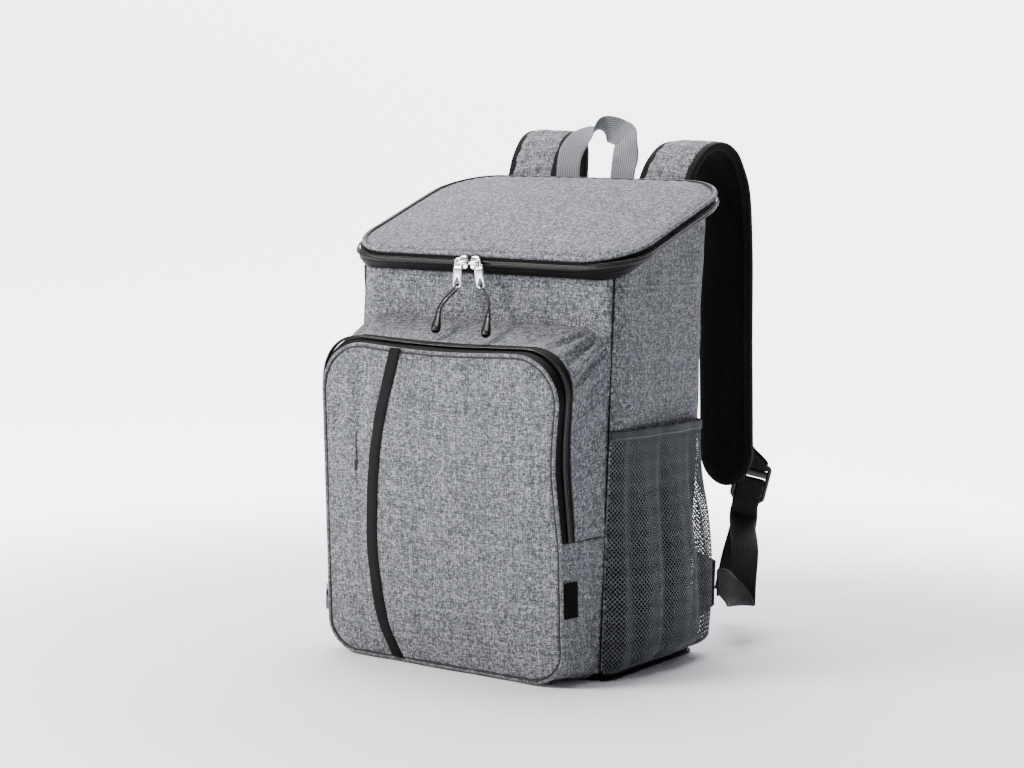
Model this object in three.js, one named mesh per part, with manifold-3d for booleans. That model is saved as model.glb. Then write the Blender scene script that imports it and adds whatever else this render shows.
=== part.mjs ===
// A cooler backpack: a padded box-shaped bag with a sloping zipped lid, a deep zipped front pocket,
// a mesh pocket on each side, a webbing carry handle and two padded shoulder straps.
// Millimetres. +Z is up, the front pocket faces -Y, and the origin is on the floor under the middle
// of the main compartment. Every piece is a closed solid, and neighbours keep a small seam gap.
import * as THREE from "three";
import Module from "manifold-3d";
import { mergeVertices } from "three/addons/utils/BufferGeometryUtils.js";

const wasm = await Module();
wasm.setup();

// Main compartment
const bodyWidth = 275;
const bodyDepth = 175;
const bodyCornerRadius = 22;
const bodyFrontHeight = 347;
const wallThickness = 6;
const bottomThickness = 6;
const seamGap = 0.3;
const seamPipingRadius = 1.7;

// Lid, which slopes up towards the back
const lidOverhang = 12.5;
const lidBackOverhang = 14.7;
const lidCornerRadius = 49;
const lidSlope = 0.3465;
const zipBandHeight = 21.4;
const zipBandBulge = 5;
const lidDomeHeight = 14;
const lidThickness = 8;
const lidPipingRadius = 2.2;

// Zips
const tapeThickness = 1.5;
const teethHalfWidth = 2.6;
const teethHalfHeight = 1.3;
const teethShare = 0.7;
const teethSlotShare = 0.16;
const teethClear = 0.6;

// Front pocket
const pocketWidth = 249;
const pocketShift = 1.8;
const pocketBottom = 2.3;
const pocketTop = 284;
const pocketTopRadius = 45;
const pocketBottomRadius = 30;
const pocketDepthBottom = 44.5;
const pocketDepthTop = 69.5;
const pocketPipingRadius = 2;
const pocketPanelThickness = 3;
const pocketPanelBulge = 5;
const gussetThickness = 2;
const gussetBackWidth = 258.6;
const gussetBackBottom = 0.6;
const gussetBackTop = 306;
const gussetBackTopRadius = 26;
const gussetBackBottomRadius = 14;
const gussetClear = 0.7;
const pocketTapeWidth = 19;
const pocketZipRightEnd = 126;
const pocketZipLeftEnd = 46;
const stripWidth = 11.5;
const stripThickness = 1;
const stripClear = 0.8;
const labelBottom = 61;
const labelHeight = 31;
const labelWidth = 18;
const labelThickness = 0.8;

// Side mesh pockets
const meshThickness = 1.2;
const meshBottom = 5;
const meshTop = 209;
const meshBulge = 24;
const meshBandHeight = 9;
const meshBandThickness = 1.8;

// Webbing: the carry handle and the adjusting straps
const webbingWidth = 26;
const webbingThickness = 1.6;
const handleSpacing = 60;
const handleRise = 55;
const handleDepth = 14;

// Shoulder straps, as they stand behind the bag
const strapHalfWidth = 23.7;
const strapThickness = 10;
const bindingHalfWidth = 2;
const bindingHalfThickness = 4.8;
const strapTipLength = 30;
const leftStrapRise = 8;

// Ladder locks and corner tabs
const lockWidth = 35;
const lockHeight = 38;
const lockThickness = 4;
const lockBar = 4;
const lockSlotWidth = 28;
const webbingClearance = 0.5;
const tabLength = 22;
const tabThickness = 3;
const tabBottom = 26;
const tabTop = 94;
const tabOuterBottom = 42;
const tabOuterTop = 84;

// Lid zip pulls
const sliderWidth = 10;
const sliderHeight = 12;
const sliderBodyDepth = 3;
const bailWidth = 3;
const bailBar = 1.5;
const bailOpening = 2.2;
const pullLength = 26.5;
const pullWidth = 9;
const pullThickness = 1.2;
const pullHoleRadius = 2.5;
const cordRadius = 0.8;
const gripLength = 25;
const gripTopRadius = 2.6;
const gripEndRadius = 4.2;
const leftSliderX = -7.7;
const rightSliderX = 4.7;
const rightPullTilt = -0.2;

// How the soft faces dip and swell. along and up are shares of the face, depth is in mm, out is positive
const bodyFolds = [
  { face: 1, along: 0.08, up: 0.33, depth: -3.2, wide: 0.07, tall: 0.1 },
  { face: 1, along: 0.62, up: 0.86, depth: -2.0, wide: 0.16, tall: 0.06 },
  { face: 3, along: 0.4, up: 0.84, depth: -2.0, wide: 0.16, tall: 0.06 },
  { face: 0, along: 0.5, up: 0.95, depth: -1.6, wide: 0.25, tall: 0.05 },
];
const panelFolds = [
  { along: -0.72, up: 0.74, depth: -2.6, wide: 0.16, tall: 0.07 },
  { along: -0.3, up: 0.88, depth: 1.8, wide: 0.2, tall: 0.08 },
  { along: 0.55, up: 0.1, depth: -2.4, wide: 0.2, tall: 0.07 },
  { along: -0.05, up: 0.06, depth: -2.0, wide: 0.14, tall: 0.06 },
];
const gussetFolds = [
  { run: 0.27, depth: -3.0, wide: 0.018 },
  { run: 0.31, depth: 1.6, wide: 0.015 },
  { run: 0.35, depth: -2.2, wide: 0.016 },
  { run: 0.66, depth: -2.4, wide: 0.02 },
];
const meshFolds = [
  { along: 0.2, depth: -3.0, wide: 0.05 },
  { along: 0.45, depth: -3.4, wide: 0.05 },
  { along: 0.72, depth: -2.6, wide: 0.05 },
];
const meshProfile = [
  { up: 0, out: 0 },
  { up: 0.03, out: 0.55 },
  { up: 0.08, out: 0.92 },
  { up: 0.2, out: 1 },
  { up: 0.4, out: 0.92 },
  { up: 0.6, out: 0.66 },
  { up: 0.8, out: 0.42 },
  { up: 1, out: 0.32 },
];
// The black strip's middle line, as shares of the pocket panel's half width and of its height
const stripLine = [
  { up: 0.985, across: -0.375 },
  { up: 0.88, across: -0.43 },
  { up: 0.72, across: -0.525 },
  { up: 0.55, across: -0.572 },
  { up: 0.38, across: -0.588 },
  { up: 0.24, across: -0.572 },
  { up: 0.12, across: -0.53 },
  { up: 0.02, across: -0.44 },
];

const skins = {
  melange: { color: 0x8d9096, roughness: 0.9 },
  webbing: { color: 0x6f7277, roughness: 0.8 },
  black: { color: 0x17181a, roughness: 0.75 },
  mesh: { color: 0x3d4044, roughness: 0.85 },
  plastic: { color: 0x101112, roughness: 0.4 },
  metal: { color: 0xd9dbde, roughness: 0.25, metalness: 1 },
};

const bag = new THREE.Group();

function add(name, skin, geometry) {
  const mesh = new THREE.Mesh(geometry, new THREE.MeshStandardMaterial(skins[skin]));
  mesh.name = name;
  bag.add(mesh);
}

// Small number helpers
const mix = (a, b, t) => a + (b - a) * t;
const range = (count, from, to) => Array.from({ length: count + 1 }, (_, i) => mix(from, to, i / count));
const bell = (x, centre, wide) => Math.exp(-(((x - centre) / wide) ** 2));
const vec = (x, y, z) => new THREE.Vector3(x, y, z);

// A value that runs smoothly through a table's rows, read by one column
function follow(rows, at, key, value) {
  const next = Math.max(1, rows.findIndex((row) => row[key] >= at));
  const high = rows[rows.some((row) => row[key] >= at) ? next : rows.length - 1];
  const low = rows[rows.indexOf(high) - 1];
  const share = Math.min(1, Math.max(0, (at - low[key]) / (high[key] - low[key])));
  return mix(low[value], high[value], share * share * (3 - 2 * share) * 0.5 + share * 0.5);
}

// A closed solid through sections, each a ring with the same number of points. The two ends are capped,
// unless the last section joins the first one again.
function skin(sections, { loop = false } = {}) {
  const ring = sections[0].length;
  const positions = sections.flat().flatMap((p) => [p.x, p.y, p.z]);
  const faces = [];
  const quad = (a, b, c, d) => faces.push(a, b, c, a, c, d);
  const last = loop ? sections.length : sections.length - 1;
  for (let row = 0; row < last; row++) {
    const here = row * ring;
    const there = ((row + 1) % sections.length) * ring;
    for (let i = 0; i < ring; i++) {
      const j = (i + 1) % ring;
      quad(here + i, here + j, there + j, there + i);
    }
  }
  if (!loop) {
    const end = (sections.length - 1) * ring;
    for (let i = 0; i < ring / 2 - 1; i++) {
      const far = ring - 1 - i;
      quad(i, far, far - 1, i + 1);
      quad(end + i, end + i + 1, end + far - 1, end + far);
    }
  }
  return solid(positions, faces);
}

// A closed solid through rings, whose end rings are closed by a fan to their middle
function fanned(rings) {
  const ring = rings[0].length;
  const middle = (points) =>
    points.reduce((sum, p) => sum.add(p), vec(0, 0, 0)).multiplyScalar(1 / points.length);
  const points = [...rings.flat(), middle(rings[0]), middle(rings.at(-1))];
  const faces = [];
  for (let row = 0; row < rings.length - 1; row++) {
    for (let i = 0; i < ring; i++) {
      const j = (i + 1) % ring;
      const here = row * ring;
      const there = here + ring;
      faces.push(here + i, here + j, there + j, here + i, there + j, there + i);
    }
  }
  const end = (rings.length - 1) * ring;
  for (let i = 0; i < ring; i++) {
    const j = (i + 1) % ring;
    faces.push(j, i, points.length - 2, end + i, end + j, points.length - 1);
  }
  return solid(points.flatMap((point) => [point.x, point.y, point.z]), faces);
}

// A geometry whose faces point outwards: the signed volume tells which way round they are
function solid(positions, faces) {
  const at = (i) => vec(...positions.slice(3 * i, 3 * i + 3));
  let volume = 0;
  for (let i = 0; i < faces.length; i += 3) {
    volume += at(faces[i]).dot(at(faces[i + 1]).cross(at(faces[i + 2])));
  }
  if (volume < 0) faces.reverse();
  const geometry = new THREE.BufferGeometry();
  geometry.setAttribute("position", new THREE.Float32BufferAttribute(positions, 3));
  geometry.setIndex(faces);
  geometry.computeVertexNormals();
  return geometry;
}

// A cloth wall between two faces, each given as rows of points
function wall(outer, inner) {
  return skin(outer.map((row, i) => [...row, ...[...inner[i]].reverse()]));
}

// A flat or round section carried along a path. side gives the section's first direction at each point,
// and a slanted sweep keeps it as it is, where others turn it square to the path
function sweep(path, section, side, { loop = false, slanted = false } = {}) {
  const count = path.length;
  const sections = path.map((point, i) => {
    const before = path[loop ? (i + count - 1) % count : Math.max(0, i - 1)];
    const after = path[loop ? (i + 1) % count : Math.min(count - 1, i + 1)];
    const along = after.clone().sub(before).normalize();
    const first = side(i, point).clone();
    if (!slanted) first.addScaledVector(along, -first.dot(along));
    first.normalize();
    const second = along.clone().cross(first).normalize();
    return section.map(([a, b]) => point.clone().addScaledVector(first, a).addScaledVector(second, b));
  });
  return skin(sections, { loop });
}

const oval = (a, b, sides) =>
  range(sides, 0, 2 * Math.PI).slice(0, sides).map((t) => [a * Math.cos(t), b * Math.sin(t)]);
const flat = (a, b) => [[a, -b], [a, b], [-a, b], [-a, -b]];

// The same piece on the other side of the bag
function mirrored(geometry) {
  const copy = geometry.clone().toNonIndexed().scale(-1, 1, 1);
  const positions = Array.from(copy.attributes.position.array);
  return solid(positions, positions.filter((_, i) => i % 3 === 0).map((_, i) => i));
}

// Outlines

// One quarter of a rounded rectangle seen from above, from the middle of one corner to the middle of the
// next: 0 is the front, 1 the right, 2 the back and 3 the left. Each point has its outward direction.
// trim shortens the quarter at both ends.
function quarter(shape, face, trim = 0, arcSteps = 2, sideSteps = 5) {
  const { halfWidth, halfDepth, radius, centreY = 0 } = shape;
  const turn = (face * Math.PI) / 2;
  const across = (face % 2 === 0 ? halfWidth : halfDepth) - radius;
  const out = (face % 2 === 0 ? halfDepth : halfWidth) - radius;
  const corner = Math.PI / 4 - trim / radius;
  const spin = (x, y) => [x * Math.cos(turn) - y * Math.sin(turn), x * Math.sin(turn) + y * Math.cos(turn)];
  const put = (middle, angle) => {
    const [nx, ny] = spin(Math.sin(angle), -Math.cos(angle));
    const [x, y] = spin(middle + radius * Math.sin(angle), -out - radius * Math.cos(angle));
    return { x, y: y + centreY, nx, ny };
  };
  return [
    ...range(arcSteps, -corner, 0).map((angle) => put(-across, angle)),
    ...range(sideSteps, -across, across).slice(1, -1).map((x) => put(x, 0)),
    ...range(arcSteps, 0, corner).map((angle) => put(across, angle)),
  ];
}

// A point of an outline, moved outwards and set at a height
const lift = (p, out, z) => vec(p.x + p.nx * out, p.y + p.ny * out, z);

const bodyShape = { halfWidth: bodyWidth / 2, halfDepth: bodyDepth / 2, radius: bodyCornerRadius };
const lidShape = {
  halfWidth: bodyWidth / 2 + lidOverhang,
  halfDepth: (bodyDepth + lidOverhang + lidBackOverhang) / 2,
  radius: lidCornerRadius,
  centreY: (lidBackOverhang - lidOverhang) / 2,
};
const bodyTop = (y) => bodyFrontHeight + lidSlope * (y + bodyDepth / 2);
const lidPlane = (y) => bodyTop(y) + zipBandHeight;
const allRound = (shape) => [0, 1, 2, 3].flatMap((face) => quarter(shape, face).slice(1));

// Main compartment panels
const panelBase = bottomThickness + seamGap;
function bodySoft(face, along, up) {
  return bodyFolds
    .filter((fold) => fold.face === face)
    .reduce((sum, f) => sum + f.depth * bell(along, f.along, f.wide) * bell(up, f.up, f.tall), 0);
}
function bodyPanel(face) {
  const outline = quarter(bodyShape, face, seamGap);
  const side = (inset) =>
    range(6, 0, 1).map((up) =>
      outline.map((p, i) => {
        const out = bodySoft(face, i / (outline.length - 1), up) - inset;
        return lift(p, out, mix(panelBase, bodyTop(p.y), up));
      }),
    );
  return wall(side(0), side(wallThickness));
}
["front_panel", "side_panel_right", "back_panel", "side_panel_left"].forEach((name, face) => {
  add(name, "melange", bodyPanel(face));
});
const bottomSlab = [0, bottomThickness].map((z) => allRound(bodyShape).map((p) => lift(p, 0, z)));
add("bottom_panel", "black", fanned(bottomSlab));

// Seam pipings: outside the four upright corners, and round the bottom edge behind the pocket
const seamOffset = seamPipingRadius + seamGap;
const seamSection = oval(seamPipingRadius, seamPipingRadius, 6);
["front_left", "front_right", "back_right", "back_left"].forEach((name, face) => {
  const corner = quarter(bodyShape, face)[0];
  const base = 2 * seamOffset + seamGap;
  const path = range(4, base, bodyTop(corner.y) - seamGap).map((z) => lift(corner, seamOffset, z));
  add("corner_seam_" + name, "black", sweep(path, seamSection, () => vec(1, 0, 0)));
});
const bottomPipingPath = [1, 2, 3].flatMap((face) =>
  quarter(bodyShape, face).slice(face === 1 ? 0 : 1).map((p) => lift(p, seamOffset, seamOffset)),
);
add("bottom_piping", "black", sweep(bottomPipingPath, seamSection, () => vec(0, 0, 1)));

// The band between the body and the lid. t runs from the body's top edge to the lid's piping
const openSides = [3, 0, 1];
const chain = (shape, faces) =>
  faces.flatMap((face, i) => quarter(shape, face, seamGap).slice(i === 0 ? 0 : 1));
function bandRows(faces, fromT, toT, out, steps) {
  const lower = chain(bodyShape, faces);
  const upper = chain(lidShape, faces);
  const inset = tapeThickness / 2;
  return range(steps, fromT, toT).map((t) =>
    lower.map((low, i) => {
      const high = upper[i];
      const a = lift(low, out - inset, bodyTop(low.y) + seamGap);
      const b = lift(high, out - inset, lidPlane(high.y) - lidPipingRadius - seamGap);
      const swell = faces === openSides ? zipBandBulge * Math.sin(Math.PI * t) : 0;
      return a.lerp(b, t).add(vec(low.nx * swell, low.ny * swell, 0));
    }),
  );
}
const band = (faces, from, to, steps) =>
  wall(
    bandRows(faces, from, to, tapeThickness / 2, steps),
    bandRows(faces, from, to, -tapeThickness / 2, steps),
  );
const slotEdge = teethSlotShare / 2;
add("lid_zip_tape_lower", "black", band(openSides, 0, teethShare - slotEdge, 3));
add("lid_zip_tape_upper", "black", band(openSides, teethShare + slotEdge, 1, 2));
add("lid_hinge_strip", "melange", band([2], 0, 1, 3));

// The teeth lie on the band's outer face, across the slot between the tapes, and lean with the band
const below = bandRows(openSides, teethShare - slotEdge, teethShare - slotEdge, 0, 1)[0];
const above = bandRows(openSides, teethShare + slotEdge, teethShare + slotEdge, 0, 1)[0];
const bandLean = above.map((point, i) => point.clone().sub(below[i]).normalize());
const teethOut = tapeThickness / 2 + teethClear + teethHalfHeight;
const bandOutline = chain(bodyShape, openSides);
const lidTeethPath = bandRows(openSides, teethShare, teethShare, 0, 1)[0].map((point, i) => {
  const outwards = lift(bandOutline[i], 1, 0).sub(lift(bandOutline[i], 0, 0));
  outwards.addScaledVector(bandLean[i], -outwards.dot(bandLean[i])).normalize();
  return point.addScaledVector(outwards, teethOut);
});
const teethSection = oval(teethHalfWidth, teethHalfHeight, 6);
add("lid_zip_teeth", "black", sweep(lidTeethPath, teethSection, (i) => bandLean[i]));

// The padded lid: rings that shrink towards its middle, domed above and below
const lidOutline = allRound(lidShape);
const lidInset = lidPipingRadius + seamGap;
function lidRing(share, drop) {
  return lidOutline.map((p) => {
    const edge = lift(p, -lidInset, 0);
    const x = edge.x * share;
    const y = lidShape.centreY + (edge.y - lidShape.centreY) * share;
    return vec(x, y, lidPlane(y) + lidDomeHeight * (1 - share ** 2.4) - drop);
  });
}
const lidShares = [0.25, 0.6, 0.87, 1];
const lidTop = lidShares.map((share) => lidRing(share, -lidPipingRadius * share ** 8));
const lidUnder = lidShares.map((share) => lidRing(share, mix(lidThickness, lidPipingRadius, share ** 4)));
add("lid_panel", "melange", fanned([...lidTop, ...lidUnder.reverse()]));
const lidPipingPath = lidOutline.map((p) => lift(p, 0, lidPlane(p.y)));
add(
  "lid_piping",
  "melange",
  sweep(lidPipingPath, oval(lidPipingRadius, lidPipingRadius, 6), () => vec(0, 0, 1), { loop: true }),
);

// Front pocket

// The pocket's outline seen from the front, run upwards and over from the right zip end to the left one,
// or downwards and under from the left zip end to the right one
function pocketRun(shape, part) {
  const { halfWidth, shift, bottom, top, topRadius, bottomRadius } = shape;
  const put = (cx, cz, radius, angle) => ({
    x: shift + cx + radius * Math.cos(angle),
    z: cz + radius * Math.sin(angle),
    nx: Math.cos(angle),
    nz: Math.sin(angle),
  });
  const corner = (sign, up) => {
    const radius = up ? topRadius : bottomRadius;
    const from = up ? (sign > 0 ? 0 : 0.5) : sign > 0 ? 1.5 : 1;
    return range(3, from, from + 0.5).map((turn) =>
      put(sign * (halfWidth - radius), up ? top - radius : bottom + radius, radius, turn * Math.PI),
    );
  };
  const side = (sign, from, to, steps) =>
    range(steps, from, to).map((z) => put(sign * halfWidth, z, 0, sign > 0 ? 0 : Math.PI));
  const across = (z, from, to, angle) => range(7, from, to).slice(1, -1).map((x) => put(x, z, 0, angle));
  const topX = halfWidth - topRadius;
  const bottomX = halfWidth - bottomRadius;
  if (part === "over") {
    return [
      ...side(1, pocketZipRightEnd, top - topRadius, 4).slice(0, -1),
      ...corner(1, true),
      ...across(top, topX, -topX, Math.PI / 2),
      ...corner(-1, true),
      ...side(-1, top - topRadius, pocketZipLeftEnd, 6).slice(1),
    ];
  }
  return [
    ...side(-1, pocketZipLeftEnd, bottom + bottomRadius, 1).slice(0, -1),
    ...corner(-1, false),
    ...across(bottom, -bottomX, bottomX, -Math.PI / 2),
    ...corner(1, false),
    ...side(1, bottom + bottomRadius, pocketZipRightEnd, 3).slice(1),
  ];
}
const pocketFront = {
  halfWidth: pocketWidth / 2 - pocketPipingRadius,
  shift: pocketShift,
  bottom: pocketBottom,
  top: pocketTop,
  topRadius: pocketTopRadius,
  bottomRadius: pocketBottomRadius,
};
const pocketBack = {
  halfWidth: gussetBackWidth / 2,
  shift: 0,
  bottom: gussetBackBottom,
  top: gussetBackTop,
  topRadius: gussetBackTopRadius,
  bottomRadius: gussetBackBottomRadius,
};
const bodyFront = -bodyDepth / 2;
const pocketEdgeY = (z) => bodyFront - mix(pocketDepthBottom, pocketDepthTop, z / pocketTop);

// Where the body's front face is at a distance from the middle, with its rounded corners
function frontFaceY(x) {
  const past = Math.max(0, Math.abs(x) - (bodyWidth / 2 - bodyCornerRadius));
  return bodyFront + bodyCornerRadius - Math.sqrt(bodyCornerRadius ** 2 - Math.min(past, bodyCornerRadius) ** 2);
}

// How deep the pocket is there, from the front panel's edge to the seam on the main compartment
function gussetDepth(front, back, out) {
  return frontFaceY(back.x + out * back.nx) - gussetClear - pocketEdgeY(front.z);
}

// A point on the pocket's side wall, at a distance behind the front panel's edge
function gussetPoint(front, back, behind, out) {
  const startY = pocketEdgeY(front.z);
  const share = behind / gussetDepth(front, back, out);
  return vec(
    mix(front.x, back.x, share) + out * mix(front.nx, back.nx, share),
    startY + behind,
    mix(front.z, back.z, share) + out * mix(front.nz, back.nz, share),
  );
}
function gussetRows(part, from, to, out, steps, soft = 0) {
  const front = pocketRun(pocketFront, part);
  const back = pocketRun(pocketBack, part);
  return range(steps, 0, 1).map((share) =>
    front.map((p, i) => {
      const end = to === "body" ? gussetDepth(p, back[i], out) : to;
      const run = i / (front.length - 1);
      const folds = gussetFolds.reduce((sum, f) => sum + f.depth * bell(run, f.run, f.wide), 0);
      const swell = soft * folds * Math.sin(Math.PI * share);
      return gussetPoint(p, back[i], mix(from, end, share), out + swell);
    }),
  );
}
const gussetWall = (part, from, to, thickness, steps, soft) =>
  wall(gussetRows(part, from, to, 0, steps, soft), gussetRows(part, from, to, -thickness, steps, soft));
const pipingClear = pocketPipingRadius + seamGap;
const tapeEnd = pipingClear + pocketTapeWidth;
add("pocket_zip_tape", "black", gussetWall("over", pipingClear, tapeEnd, tapeThickness, 1));
add("pocket_gusset_upper", "melange", gussetWall("over", tapeEnd + seamGap, "body", gussetThickness, 3, 1));
add("pocket_gusset_lower", "melange", gussetWall("under", pipingClear, "body", gussetThickness, 3));
const pocketTeethOut = teethClear + teethHalfHeight;
const pocketTeethPath = gussetRows("over", pipingClear, tapeEnd, pocketTeethOut, 2)[1];
const lengthways = vec(0, 1, 0);
add("pocket_zip_teeth", "black", sweep(pocketTeethPath, teethSection, () => lengthways));

// The front panel: rings that shrink towards its middle, swelling forwards, with its own soft dents
const pocketOutline = [...pocketRun(pocketFront, "over").slice(0, -1), ...pocketRun(pocketFront, "under").slice(0, -1)];
const pocketMiddleZ = (pocketTop + pocketBottom) / 2;
function panelFace(x, z, share) {
  const across = (x - pocketShift) / pocketFront.halfWidth;
  const up = z / pocketTop;
  const dents = panelFolds.reduce((sum, f) => sum + f.depth * bell(across, f.along, f.wide) * bell(up, f.up, f.tall), 0);
  return pocketEdgeY(z) - pocketPanelBulge * (1 - share ** 4) - dents * (1 - share ** 6);
}
function panelRing(share, behind) {
  return pocketOutline.map((p) => {
    const x = mix(pocketShift, p.x - p.nx * pipingClear, share);
    const z = mix(pocketMiddleZ, p.z - p.nz * pipingClear, share);
    return vec(x, panelFace(x, z, share) + behind, z);
  });
}
const panelShares = [0.25, 0.55, 0.83, 1];
const panelFront = panelShares.map((share) => panelRing(share, -pocketPanelThickness / 2));
const panelBack = panelShares.map((share) => panelRing(share, pocketPanelThickness / 2));
add("pocket_front_panel", "melange", fanned([...panelFront, ...panelBack.reverse()]));
const pocketPipingPath = pocketOutline.map((p) => vec(p.x, pocketEdgeY(p.z), p.z));
const pipingSection = oval(pocketPipingRadius, pocketPipingRadius, 6);
add("pocket_piping", "melange", sweep(pocketPipingPath, pipingSection, () => lengthways, { loop: true }));

// The black strip sewn on the front panel
const stripRow = (out) =>
  range(10, stripLine.at(-1).up, stripLine[0].up).map((up) => {
    const rows = [...stripLine].reverse();
    const middle = follow(rows, up, "up", "across") * pocketFront.halfWidth + pocketShift;
    const z = mix(pocketBottom + pipingClear, pocketTop - pipingClear, up);
    return [-0.5, 0, 0.5].map((side) => {
      const x = middle + side * stripWidth;
      const reach = Math.max(
        Math.abs(x - pocketShift) / (pocketFront.halfWidth - pipingClear),
        Math.abs(z - pocketMiddleZ) / ((pocketTop - pocketBottom) / 2 - pipingClear),
      );
      return vec(x, panelFace(x, z, Math.min(1, reach)) - pocketPanelThickness / 2 - out, z);
    });
  });
add("front_strip", "black", wall(stripRow(stripClear + stripThickness), stripRow(stripClear)));

// The bare label, sewn in behind the panel's piping on the right
function labelRow(out) {
  const column = (shape, z) => ({ x: shape.shift + shape.halfWidth, z, nx: 1, nz: 0 });
  return [labelBottom, labelBottom + labelHeight].map((z) =>
    [pipingClear, pipingClear + labelWidth].map((behind) =>
      gussetPoint(column(pocketFront, z), column(pocketBack, z), behind, out),
    ),
  );
}
add("side_label", "black", wall(labelRow(seamGap + labelThickness), labelRow(seamGap)));

// Side mesh pockets: a net wall that bags out between the two corner seams, under an elastic band
function meshOut(along, up) {
  const lean = Math.sin(Math.PI * along ** 1.25);
  const folds = meshFolds.reduce((sum, f) => sum + f.depth * bell(along, f.along, f.wide), 0);
  const share = follow(meshProfile, up, "up", "out");
  return share * lean * (meshBulge + folds * (1 - up));
}
function meshWall(fromZ, toZ, steps, thickness) {
  const outline = quarter(bodyShape, 1, meshTrim, 2, 7);
  const side = (out) =>
    range(steps, fromZ, toZ).map((z) =>
      outline.map((p, i) => {
        const up = Math.min(1, (z - meshBottom) / (meshTop - meshBottom));
        return lift(p, seamGap + meshOut(i / (outline.length - 1), up) + out, z);
      }),
    );
  return wall(side(thickness), side(0));
}
const meshTrim = seamPipingRadius + seamGap;
const meshPocket = meshWall(meshBottom, meshTop, 8, meshThickness);
const meshBand = meshWall(meshTop + seamGap, meshTop + meshBandHeight, 1, meshBandThickness);
add("mesh_pocket_right", "mesh", meshPocket);
add("mesh_pocket_left", "mesh", mirrored(meshPocket));
add("mesh_band_right", "webbing", meshBand);
add("mesh_band_left", "webbing", mirrored(meshBand));

// Carry handle: one length of webbing, sewn to the back panel's top edge on both sides. It passes behind
// the lid, and it turns edge on over the arch.
const backFace = bodyDepth / 2;
const lidBackY = lidShape.centreY + lidShape.halfDepth + lidPipingRadius;
const lidBackZ = lidPlane(lidShape.centreY + lidShape.halfDepth);
const webbingBack = backFace + seamGap + webbingThickness / 2;
const webbingPastLid = lidBackY + seamGap + 1 + webbingThickness / 2;
const handleLine = [
  { across: -1, rise: -1.0, past: 0, turn: 0 },
  { across: -1, rise: -0.56, past: 0.08, turn: 0 },
  { across: -1, rise: -0.28, past: 0.7, turn: 0 },
  { across: -1, rise: 0.02, past: 1.0, turn: 0.02 },
  { across: -0.93, rise: 0.34, past: 1.18, turn: 0.12 },
  { across: -0.6, rise: 0.72, past: 1.45, turn: 0.32 },
  { across: 0.0, rise: 0.96, past: 1.72, turn: 0.5 },
  { across: 0.48, rise: 1.0, past: 1.76, turn: 0.58 },
  { across: 0.86, rise: 0.84, past: 1.5, turn: 0.74 },
  { across: 1.02, rise: 0.5, past: 1.2, turn: 0.9 },
  { across: 1, rise: 0.02, past: 1.0, turn: 0.99 },
  { across: 1, rise: -0.28, past: 0.7, turn: 1 },
  { across: 1, rise: -0.56, past: 0.08, turn: 1 },
  { across: 1, rise: -1.0, past: 0, turn: 1 },
];
function curveThrough(rows, place, key, steps) {
  const curve = new THREE.CatmullRomCurve3(rows.map(place), false, "centripetal");
  const keys = rows.map((row, i) => ({ at: i / (rows.length - 1), value: row[key] }));
  const shares = range(steps, 0, 1);
  return {
    path: shares.map((share) => curve.getPoint(share)),
    values: shares.map((share) => follow(keys, share, "at", "value")),
  };
}
const handle = curveThrough(
  handleLine,
  (row) =>
    vec(
      (row.across * handleSpacing) / 2,
      mix(webbingBack, webbingPastLid, Math.min(1, row.past)) + Math.max(0, row.past - 1) * handleDepth,
      lidBackZ + row.rise * handleRise,
    ),
  "turn",
  26,
);
const webbingSection = flat(webbingWidth / 2, webbingThickness / 2);
const handleSide = (i) => vec(-Math.cos(handle.values[i] * Math.PI), Math.sin(handle.values[i] * Math.PI), 0);
add("carry_handle", "webbing", sweep(handle.path, webbingSection, handleSide));

// Shoulder straps. Each is sewn to the back panel's top, passes behind the lid, arches backwards and hangs
// down to a rounded tip. The columns are mm: across from the middle, behind the back face, above the lid's
// back edge, and the strap's own rise follows the arch share.
const strapLine = [
  { across: 73, behind: 5.6, above: -58, arch: 0 },
  { across: 73, behind: 6.0, above: -34, arch: 0 },
  { across: 73, behind: 13.5, above: -18, arch: 0 },
  { across: 73, behind: 24.5, above: -2, arch: 0 },
  { across: 75, behind: 36, above: 17, arch: 0.3 },
  { across: 77, behind: 53, above: 30.5, arch: 0.8 },
  { across: 79, behind: 71, above: 35.5, arch: 1 },
  { across: 81, behind: 86, above: 34, arch: 1 },
  { across: 84, behind: 98.5, above: 26, arch: 0.8 },
  { across: 87.5, behind: 106, above: 12, arch: 0.5 },
  { across: 91, behind: 111.5, above: -6, arch: 0.25 },
  { across: 95, behind: 115, above: -60, arch: 0 },
  { across: 99, behind: 115.5, above: -150, arch: 0 },
  { across: 103, behind: 116, above: -230, arch: 0 },
  { across: 106, behind: 116.5, above: -290, arch: 0 },
];
const strapFrame = (rise) => {
  const curve = new THREE.CatmullRomCurve3(
    strapLine.map((row) => vec(row.across, backFace + row.behind, lidBackZ + row.above + row.arch * rise)),
    false,
    "centripetal",
  );
  curve.arcLengthDivisions = 400;
  const length = curve.getLength();
  return (along, out, up) => {
    const share = Math.min(1, Math.max(0, along / length));
    const tangent = curve.getTangentAt(share);
    const across = vec(1, 0, 0).addScaledVector(tangent, -tangent.x).normalize();
    const face = across.clone().cross(tangent).normalize();
    return {
      length,
      face,
      point: curve
        .getPointAt(share)
        .addScaledVector(tangent, along - share * length)
        .addScaledVector(across, out)
        .addScaledVector(face, up),
    };
  };
};
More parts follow.
